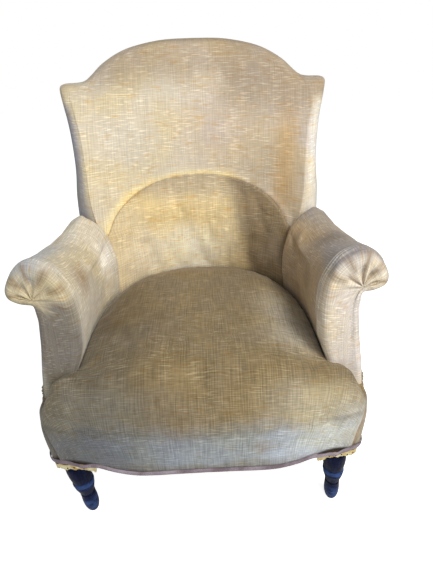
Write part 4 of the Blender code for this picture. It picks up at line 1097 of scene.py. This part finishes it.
def lumbar_place(s, t):
    z, half_width = levels[round(t * (len(levels) - 1))]
    x = half_width * (2 * s - 1)
    away = max(0.0, -arch_away(x, z)) if z > ARCH_BASE_Z - 0.02 else 1.0
    y = lumbar_front_y(x, z) + 0.0024 * max(0.0, 1.0 - away / 0.020) ** 2
    return (x, y, z), (x, z)


def backed(shape, depth):
    """Carries the open edge of a panel back to depth(x, z) in two steps, and closes it."""
    def move(v, part):
        v.co.y = max(v.co.y, between(v.co.y, depth(v.co.x, v.co.z), part))

    turned_in(shape, (0.5, 1.0), move)


lumbar_shape = cloth_grid(56, len(levels) - 1, lumbar_place)
backed(lumbar_shape, lambda x, z: web_y(z) - 0.003)
lumbar = piece_from(lumbar_shape, "lumbar_cover", velvet)


def lumbar_hold(p):
    seam = ease(1.0 - (-arch_away(p.x, p.z) - 0.004) / 0.014) if p.z > ARCH_BASE_Z - 0.02 else 0.0
    side = ease((abs(p.x) - 0.205) / 0.02) * ease((0.57 - p.z) / 0.02)
    behind = ease((p.y - lumbar_front_y(p.x, p.z) - 0.012) / 0.004)
    return max(seam, side, behind, ease((0.425 - p.z) / 0.012))


def lumbar_press(p, f):
    return 0.0013 * lumps(p, 0.07, 4.0) * ease((lumbar_front_y(p.x, p.z) + 0.02 - p.y) / 0.01)


settle(lumbar, lumbar_hold, spare=0.010, reach=0.006)
dress(lumbar, lumbar_press, lumbar_dye_and_painted_light, 0.8)
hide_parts("lumbar_pad")
print("lumbar cover:", len(lumbar.data.vertices), "points")


# %% [markdown]
# ## The humped back
# One cover runs from the arched seam up to the ridge, round the frame's edge and over to the outside back. Its rows
# go from the arch to the outer edge, so the rounding of the border is simply the last few rows.

# %% Outlines of the back
BACK_OUTER = (
    (0.3190, 0.5455), (0.3155, 0.635), (0.3105, 0.705), (0.317, 0.790), (0.3335, 0.875), (0.326, 0.887), (0.298, 0.888),
    (0.272, 0.892), (0.251, 0.907), (0.226, 0.928), (0.182, 0.952), (0.136, 0.966), (0.072, 0.976), (0.0, 0.978),
)
BACK_RIDGE = (
    (0.2445, 0.5620), (0.261, 0.635), (0.269, 0.710), (0.281, 0.790), (0.303, 0.862), (0.297, 0.873), (0.276, 0.876),
    (0.254, 0.880), (0.233, 0.892), (0.208, 0.910), (0.167, 0.932), (0.124, 0.947), (0.066, 0.958), (0.0, 0.961),
)
BACK_HALF = 72
ARCH_FOOT, FOOT_FROM = (0.2370, COVER_TOP_Z), 0.97


def back_edges():
    """Matched points of the right half, from the middle to the wing's foot: arch, ridge and outer edge."""
    joined = [(*r, *o) for r, o in zip(BACK_RIDGE, BACK_OUTER)][::-1]
    fine = [curve_at(joined, k / 12) for k in range(12 * (len(joined) - 1) + 1)]
    found = even_steps(fine, BACK_HALF, slice(2, 4))[0]
    found[0] = (0.0, found[0][1], 0.0, found[0][3])
    arch = []
    for k in range(BACK_HALF + 1):
        part = k / BACK_HALF
        angle = math.radians(between(90.0, 9.0, min(1.0, part / FOOT_FROM)))
        spot = (math.cos(angle) * ARCH_HALF_WIDTH, ARCH_BASE_Z + math.sin(angle) * ARCH_RISE)
        foot = ease((part - FOOT_FROM) / (1.0 - FOOT_FROM))
        arch.append(tuple(between(a, b, foot) for a, b in zip(spot, ARCH_FOOT)))
    arch[0] = (0.0, arch[0][1])
    return arch, [p[:2] for p in found], [p[2:] for p in found]


arch_line, ridge_line, outer_line = back_edges()
FACE_ROWS = [0.0, 0.012, 0.03, 0.055, 0.09] + [0.13 + 0.87 * k / 26 for k in range(27)]
EDGE_ROWS = (
    (0.35, 0.04), (0.62, 0.13), (0.82, 0.27), (0.94, 0.42), (1.0, 0.58), (1.0, 0.74), (0.97, 0.87), (0.92, 0.95),
)
BACK_ROWS = len(FACE_ROWS) + len(EDGE_ROWS) - 1


def back_place(s, t):
    k = round((2 * s - 1) * BACK_HALF)
    sign, k = (1.0 if k >= 0 else -1.0), abs(k)
    row = round(t * BACK_ROWS)
    (ax, az), (rx, rz), (ox, oz) = arch_line[k], ridge_line[k], outer_line[k]
    if row < len(FACE_ROWS):
        v = FACE_ROWS[row]
        x, z = between(ax, rx, v), between(az, rz, v)
        tuck = 0.0020 * (1.0 - ease(v / 0.03)) + 0.005 * ease((v - 0.93) / 0.07) ** 2
        return (x * sign, back_front_y(x, z) + tuck, z), (x * sign, z)
    share, depth = EDGE_ROWS[row - len(FACE_ROWS)]
    x, z = between(rx, ox, share), between(rz, oz, share)
    front = back_front_y(rx, rz) + 0.005
    y = between(front, rear_y(ox, oz) - 0.003, depth)
    out = Vector((ox, oz - 0.800)).normalized()
    travelled = y - front
    return (x * sign, y, z), ((x + out.x * travelled) * sign, z + out.y * travelled)


# %% Back cover
def back_depth(x, z):
    """How far back the cover's edge is carried: to the webbing along the arch, to the outside back elsewhere."""
    return web_y(z) - 0.003 if arch_away(x, z) < 0.004 and z < 0.69 else rear_y(x, z) - 0.004


back_shape = cloth_grid(2 * BACK_HALF, BACK_ROWS, back_place)
backed(back_shape, back_depth)
back = piece_from(back_shape, "back_cover", velvet)


def back_hold(p):
    seam = ease(1.0 - (arch_away(p.x, p.z) - 0.004) / 0.012) if p.z < 0.70 else 0.0
    edge = ease((p.y - back_front_y(abs(p.x), min(p.z, 0.96)) - 0.010) / 0.010)
    foot = ease((0.60 - p.z) / 0.03)
    return max(seam, edge, foot)


settle(back, back_hold, spare=0.010, reach=0.007)


def back_press(p, f):
    free = ease((back_front_y(abs(p.x), min(p.z, 0.96)) + 0.012 - p.y) / 0.01)
    rim = 0.0030 * hump(arch_away(p.x, p.z), 0.004, 0.010)
    return rim * free + 0.0014 * lumps(p, 0.10, 7.0) * free


dress(back, back_press, back_dye_and_painted_light, 0.7)
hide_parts("back_pad")
print("back cover:", len(back.data.vertices), "points")


# %% [markdown]
# ## The outside covers
# The outsides of the arms and of the back are single sheets, stretched and hand stitched along their edges, with
# nothing behind them but the frame. So they dip a little between the rails, and pucker at the stitches.

# %% Sheets for the outsides
PANEL_INSET, CORNER_STEPS = 0.0275, 12
SIDE_START_Y = ARM_FRONT_Y + PANEL_INSET
SIDE_FLAT_WIDTH, SIDE_STITCH, BACK_STITCH = 0.56, 0.016, 0.017


def side_line(steps):
    """Side of the hem outline in plan, from behind the arm's front to the rear corner and round it."""
    count = steps - CORNER_STEPS
    straight = [(base_x(y), y) for y in (between(SIDE_START_Y, SIDE_END_Y, k / count) for k in range(count))]
    first, turn = (base_x(SIDE_END_Y), SIDE_END_Y), (REAR_CORNER_X + 0.013, 0.263)
    last = (REAR_CORNER_X, REAR_Y - REAR_BOW * (REAR_CORNER_X / 0.30) ** 2)
    corner = []
    for k in range(CORNER_STEPS + 1):
        t = k / CORNER_STEPS
        corner.append(tuple((1 - t) ** 2 * p + 2 * t * (1 - t) * q + t * t * r for p, q, r in zip(first, turn, last)))
    return [*straight, *corner]


def panel_thickness(piece, thick):
    wall = piece.modifiers.new("cloth_thickness", "SOLIDIFY")
    wall.thickness, wall.offset = thick, -1.0


SIDE_COLUMNS, SIDE_ROWS = 64, 52
plan = side_line(SIDE_COLUMNS)


def outside_arm(name, side, node_name):
    def place(s, t):
        k = round(s * SIDE_COLUMNS)
        z = between(0.2000, COVER_TOP_Z + 0.0065, t)
        x, y = plan[k]
        first = between(ARM_FRONT_Y + GAP, arm_front_y(z) + PANEL_INSET, ease((z - 0.3165) / 0.003))
        dip = 0.0022 * math.sin(math.pi * held((z - 0.27) / 0.21)) * math.sin(math.pi * held((y + 0.20) / 0.42))
        if y < SIDE_END_Y:
            y = between(first, SIDE_END_Y, (y - SIDE_START_Y) / (SIDE_END_Y - SIDE_START_Y))
            spot = (side_x(y, z) - dip, y + table(z, RAKE) * ease((y - 0.10) / 0.14))
        else:
            spot = (x - (base_x(SIDE_END_Y) - side_x(SIDE_END_Y, z)), y + table(z, RAKE))
        return (spot[0] * side, spot[1], z), (k / SIDE_COLUMNS * SIDE_FLAT_WIDTH, z)

    shape = cloth_grid(SIDE_COLUMNS, SIDE_ROWS, place)
    if side < 0:
        bmesh.ops.reverse_faces(shape, faces=shape.faces)
    cover = piece_from(shape, name, velvet)

    def puckers(p, f):
        edges = hump(p.z, COVER_TOP_Z, 0.030) + 0.6 * hump(p.z, 0.212, 0.035)
        return 0.00054 * math.sin(2 * math.pi * p.y / SIDE_STITCH) * edges + 0.0008 * lumps(p, 0.09, 12.0) - 0.0006

    dress(cover, puckers, outer_dye_and_painted_light)
    panel_thickness(cover, 0.0022)
    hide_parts(node_name)
    return cover


outside_left = outside_arm("outside_cover_left", -1.0, "outside_arm_left")
outside_arm("outside_cover_right", 1.0, "outside_arm_right")
print("outside covers:", len(outside_left.data.vertices), "points each")

# %% Outside back
PANEL_WIDTHS = (
    (0.19, 0.2995), (0.45, 0.2930), (0.544, 0.2930), (0.556, 0.309), (0.62, 0.309), (0.70, 0.304), (0.79, 0.310),
    (0.85, 0.320),
)
crown_rows = sorted(BACK_OUTER[5:])
PANEL_FOOT_Z, SHOULDER_Z, SHOULDER, CROWN_INSET = 0.1998, 0.84, 0.82, 0.006


def panel_place(s, t):
    z = between(PANEL_FOOT_Z, SHOULDER_Z, min(1.0, t / SHOULDER))
    half = table(z, PANEL_WIDTHS)
    x = half * (2 * s - 1)
    if t > SHOULDER:
        crown_z = table(abs(x), crown_rows) - CROWN_INSET
        z = between(SHOULDER_Z, crown_z, (t - SHOULDER) / (1.0 - SHOULDER))
    dip = 0.0030 * math.sin(math.pi * held((z - 0.27) / 0.56)) * (1.0 - (abs(x) / half) ** 4)
    return (-x, rear_y(x, z) - dip + 0.0002, z), (x, z)


def panel_press(p, f):
    stitch = math.sin(2 * math.pi * p.x / BACK_STITCH)
    edges = hump(p.z, 0.21, 0.03) + hump(p.z, table(abs(p.x), crown_rows) - CROWN_INSET, 0.02)
    return 0.0010 * lumps(p, 0.13, 14.0) + 0.0006 * stitch * edges


panel_shape = cloth_grid(80, 96, panel_place)
outside_back = piece_from(panel_shape, "outside_cover_back", velvet)
dress(outside_back, panel_press, outer_dye_and_painted_light)
panel_thickness(outside_back, 0.0018)
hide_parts("outside_back")
print("outside back:", len(outside_back.data.vertices), "points")


# %% [markdown]
# ## The braid
# A narrow mauve gimp is glued round the hem. It is a ribbon of rounded cords side by side, so its section is a row
# of small humps, and it is carried along the outline of the hem. Over both front legs the glue has failed, and there
# the ribbon stands off the cover and droops.

# %% Braid path and ribbon
def hem_line():
    """The hem outline in plan, closed, starting at the front's middle and running to the right."""
    half = [(x, y) for x, y, free in outline if free > 0.99]
    half += [(base_x(y), y) for y in (between(STEP_Y, SIDE_START_Y, k / 4) for k in range(5))]
    half += plan[1:]
    half += [(x, REAR_Y - REAR_BOW * (x / 0.30) ** 2) for x in (REAR_CORNER_X * (1 - k / 20) for k in range(1, 21))]
    return [*half, *[(-x, y) for x, y in reversed(half[1:-1])]]


def spaced_ring(ring, count):
    """The same closed line with count points at equal steps, their outward normals, and its length."""
    spots, length = even_steps([*ring, ring[0]], count)
    found = [Vector(spot) for spot in spots[:-1]]
    runs = [(found[(k + 2) % count] - found[k - 2]).normalized() for k in range(count)]
    return found, [Vector((run.y, -run.x)) for run in runs], length


BRAID_STEPS, BRAID_WIDTH, BRAID_ROWS, BRAID_LOOP, SQUARENESS = 900, 0.012, 15, 0.0052, 0.55
braid_path, braid_out, braid_length = spaced_ring(hem_line(), BRAID_STEPS)


def braid_place(s, t):
    k = round(s * BRAID_STEPS) % BRAID_STEPS
    spot, out = braid_path[k], braid_out[k]
    loose = hanging(spot.x, spot.y)
    around = 2 * math.pi * t
    up, thick = (math.copysign(abs(v) ** SQUARENESS, v) for v in (math.cos(around), math.sin(around)))
    cords = 0.80 + 0.20 * abs(math.sin(up * 2.5 * math.pi / 2))
    loops = 1.0 + 0.16 * math.sin(s * braid_length * 2 * math.pi / BRAID_LOOP + up * 2.0)
    depth = GAP + 0.0013 + 0.0013 * thick * cords * (loops if thick > 0 else 1.0) + 0.0065 * loose
    depth += 0.0012 * loose * math.sin(spot.x * 190.0)
    z = hem_z(spot.x, spot.y) + 0.0045 + up * BRAID_WIDTH / 2 - 0.0060 * loose - 0.0012 * loose * up
    return (spot.x + out.x * depth, spot.y + out.y * depth, z), (s * braid_length, t * 0.026)


def braid_finish():
    made = Finish("mauve_gimp")
    twist = made.noise((420.0, 900.0, 0.0), over=made.attribute("thread")["Vector"])
    base = made.stained((116, 100, 106), made.noise(26.0, 3.0), 0.35, 0.7, (164, 152, 160))
    base = made.stained(base, twist, 0.45, 0.62, (82, 64, 70), 0.45)
    surface = {"Roughness": 0.9, "Sheen Weight": 0.15, "Specular IOR Level": 0.2}
    return made.finished(base, twist, 0.5, 0.0008, surface)


braid_shape = cloth_grid(BRAID_STEPS, BRAID_ROWS, braid_place, closed=True)
bmesh.ops.recalc_face_normals(braid_shape, faces=braid_shape.faces)
braid = piece_from(braid_shape, "hem_braid", braid_finish())
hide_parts("base_braid")
print("braid:", round(braid_length, 3), "m round the hem,", len(braid.data.vertices), "points")


# %% [markdown]
# ## Torn linings and tacks
# Where the braid has dropped, the edge of the calico lining shows above each front leg, torn and frayed, still held
# by a few rusty tacks. Each lining is a strip of grid whose lower edge is cut ragged with a height of its own.

# %% Linings
def calico():
    made = Finish("torn_calico")
    cross, stain = made.noise((700.0, 700.0, 500.0), 1.0), made.noise(60.0, 3.0)
    base = made.stained((226, 214, 168), stain, 0.38, 0.66, (186, 156, 92))
    base = made.stained(base, cross, 0.5, 0.7, (132, 112, 70), 0.35)
    # The top of the lining, in the gap behind the hanging braid, is darkened as painted shade.
    down = made.axis(made.attribute("thread")["Vector"], 1)
    down = made.maths("ADD", down, made.ranged(stain, 0.3, 0.7, -0.002, 0.002))
    base = made.stained(base, down, 0.0085, 0.0065, (58, 42, 28))
    return made.finished(base, cross, 0.5, 0.0008, {"Roughness": 0.95})


lining_cloth = calico()
LINING_FROM, LINING_TO, LINING_INSET = 0.232, 0.334, 0.0012


def torn_lining(name, side, node_name, seed):
    def rough(s, cycles, layer=0.0):
        return noise.noise(Vector((s * cycles, seed, layer)))

    def place(s, t):
        x = between(LINING_FROM, LINING_TO, s)
        y = front_y(x, LINING_INSET)
        torn = 0.0205 + 0.0050 * rough(s, 9.0) + 0.0026 * rough(s, 31.0, 4.0)
        torn *= ease(s / 0.06) * ease((1 - s) / 0.06) * 0.9 + 0.1
        curl = 0.0012 * noise.noise(Vector((s * 14.0, t * 3.0, seed))) * t
        return (x * side, y + curl, hem_z(x, y) - 0.0005 - t * (torn + 0.004)), (s * 0.11, t * 0.02)

    shape = cloth_grid(90, 10, place)
    if side > 0:
        bmesh.ops.reverse_faces(shape, faces=shape.faces)
    lining = piece_from(shape, name, lining_cloth)
    panel_thickness(lining, 0.0009)
    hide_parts(node_name)
    return lining


lining_right = torn_lining("lining_right", 1.0, "torn_lining_right", 2.0)
lining_left = torn_lining("lining_left", -1.0, "torn_lining_left", 7.0)


def rust():
    made = Finish("rusty_tack")
    base = made.blend("MIX", made.noise(900.0), (34, 26, 24), (74, 48, 36))
    return made.finished(base, surface={"Roughness": 0.6, "Metallic": 0.5})


def tacks(name, side, spots):
    """Small domed heads in one piece, set into the lining."""
    shape = bmesh.new()
    flattened = Matrix.Rotation(math.radians(90), 4, "X") @ Matrix.Diagonal((1, 1, 0.5, 1))
    for x, drop in spots:
        y = front_y(x, LINING_INSET)
        spot = Matrix.Translation((x * side, y - 0.0002, hem_z(x, y) - drop)) @ flattened
        bmesh.ops.create_uvsphere(shape, u_segments=12, v_segments=8, radius=TACK_RADIUS, matrix=spot)
    heads = piece_from(shape, name, rust_finish)
    return heads


rust_finish, TACK_RADIUS = rust(), 0.0019
RIGHT_TACKS = ((0.262, 0.0195), (0.277, 0.0205), (0.290, 0.0190), (0.305, 0.0200), (0.319, 0.0190))
LEFT_TACKS = ((0.262, 0.0200), (0.284, 0.0190), (0.300, 0.0200))
tacks_right = tacks("tacks_right", 1.0, RIGHT_TACKS)
tacks_left = tacks("tacks_left", -1.0, LEFT_TACKS)
print("linings and tacks hang above both front legs")


# %% [markdown]
# ## Turned legs
# Each front leg is turned from one billet and ebonised: a neck, a long swelling, a ring, a pair of fine beads and a
# tapered foot. Its half profile is spun round the middle, then sheared a little, because the frame has racked.

# %% Spun legs
LEG_TOP_Z, LEG_Y, LEG_LEAN = 0.2042, -0.2700, 0.012
LEG_RIGHT_X, LEG_LEFT_X = 0.286, -0.296
LEG_PROFILE = (
    (0.0240, 0.2042), (0.0250, 0.180), (0.0232, 0.173), (0.0252, 0.168), (0.0262, 0.156), (0.0258, 0.138),
    (0.0236, 0.120), (0.0218, 0.112), (0.0236, 0.108), (0.0240, 0.103), (0.0222, 0.099), (0.0226, 0.094),
    (0.0214, 0.088), (0.0178, 0.074), (0.0158, 0.066), (0.0170, 0.062), (0.0168, 0.056), (0.0176, 0.040),
    (0.0170, 0.022), (0.0140, 0.007), (0.0110, 0.0),
)


def ebonised():
    made = Finish("ebonised_turning")
    maths, ranged = made.maths, made.ranged
    grain, scuffs = made.noise((260.0, 260.0, 24.0), 3.0), made.noise((48.0, 48.0, 70.0), 4.0, 0.65)
    base = made.stained((7, 12, 36), grain, 0.4, 0.7, (20, 28, 60))
    base = made.stained(base, scuffs, 0.60, 0.76, (52, 68, 112), 0.4)
    # Lighter blue bands at the ring, the neck and the foot are partly rubbed wear and partly painted highlights.
    height, rubbed = made.axis(made.place, 2), 0.0
    for middle, reach in ((0.104, 0.013), (0.186, 0.014), (0.030, 0.032)):
        away = maths("ABSOLUTE", maths("SUBTRACT", height, middle))
        rubbed = maths("ADD", rubbed, ranged(away, reach, 0.35 * reach))
    rubbed = maths("MULTIPLY", rubbed, ranged(scuffs, 0.38, 0.62, 0.15, 0.8))
    base = made.blend("MIX", rubbed, base, (58, 82, 132))
    surface = {"Roughness": ranged(scuffs, 0.35, 0.75, 0.26, 0.55), "Specular IOR Level": 0.03}
    surface |= {"Coat Weight": 0.05, "Coat Roughness": 0.10}
    return made.finished(base, maths("ADD", maths("MULTIPLY", grain, 0.4), scuffs), 0.25, 0.0008, surface)


ebony = ebonised()


def turned_leg(name, top_x):
    shape = bmesh.new()
    fine = [curve_at(LEG_PROFILE, k / 4) for k in range(4 * (len(LEG_PROFILE) - 1) + 1)]
    line = [shape.verts.new((max(0.0, r), 0.0, z)) for r, z in [(0.0, LEG_TOP_Z), *fine, (0.0, 0.0)]]
    for a, b in zip(line, line[1:]):
        shape.edges.new((a, b))
    bmesh.ops.spin(
        shape, geom=[*shape.verts, *shape.edges], cent=(0, 0, 0), axis=(0, 0, 1), angle=2 * math.pi, steps=56,
        use_merge=True,
    )
    bmesh.ops.remove_doubles(shape, verts=shape.verts, dist=0.00003)
    bmesh.ops.recalc_face_normals(shape, faces=shape.faces)
    for v in shape.verts:
        v.co += Vector((top_x + LEG_LEAN * (1.0 - v.co.z / LEG_TOP_Z), LEG_Y, 0.0))
    leg = piece_from(shape, name, ebony)
    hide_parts(name.replace("turned", "front"))
    return leg


leg_right = turned_leg("turned_leg_right", LEG_RIGHT_X)
turned_leg("turned_leg_left", LEG_LEFT_X)
print("legs:", len(leg_right.data.vertices), "points each")


# %% [markdown]
# ## The frame, the webbing and the springs
# These solids already have the right shape, so they stay, and only get finishes: old beech with its grain along the
# boards and black stain on the back feet, brown jute, and coppered spring wire.

# %% Finishes for the hidden frame
def old_beech(name, blackened):
    made = Finish(name)
    grain = made.noise((180.0, 180.0, 16.0) if blackened else (30.0, 150.0, 150.0), 4.0, 0.6)
    pores = made.noise((800.0, 800.0, 90.0) if blackened else (120.0, 700.0, 700.0))
    base = made.stained((176, 142, 100), grain, 0.36, 0.66, (136, 102, 66))
    base = made.stained(base, pores, 0.58, 0.7, (92, 66, 42), 0.4)
    if blackened:
        black = made.blend("MIX", grain, (16, 18, 28), (44, 42, 46))
        base = made.stained(base, made.axis(made.place, 2), 0.199, 0.193, black)
    return made.finished(base, grain, 0.25, 0.001, {"Roughness": 0.45 if blackened else 0.65})


def brown_jute():
    made = Finish("striped_jute")
    cross, dirt = made.noise(420.0, 1.0), made.noise(18.0, 3.0)
    base = made.stained((170, 146, 106), cross, 0.35, 0.65, (118, 96, 64))
    base = made.blend("MULTIPLY", made.ranged(dirt, 0.4, 0.7, 0.0, 0.7), base, (176, 160, 140))
    return made.finished(base, cross, 0.6, 0.001, {"Roughness": 0.95})


def coppered_wire():
    made = Finish("coppered_wire")
    tarnish = made.noise(90.0, 3.0)
    base = made.blend("MIX", tarnish, (150, 104, 78), (84, 62, 52))
    return made.finished(base, surface={"Roughness": made.ranged(tarnish, 0.3, 0.7, 0.3, 0.65), "Metallic": 0.9})


BOARDS = (
    "front_rail", "side_rail", "back_rail", "tie_rail", "crest_rail", "arm_post", "arm_rail", "leg_block",
    "corner_block",
)
FINISHES = (
    (old_beech("old_beech", False), BOARDS),
    (old_beech("stained_beech", True), ("rear_post",)),
    (brown_jute(), ("seat_webbing", "back_webbing", "spring_canvas")),
    (coppered_wire(), ("seat_spring",)),
)
finished = 0
for solid_name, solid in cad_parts.items():
    for finish, starts in FINISHES:
        if solid_name.startswith(starts):
            for socket in solid.material_slots:
                socket.material = finish
            finished += 1
print(finished, "solids finished")
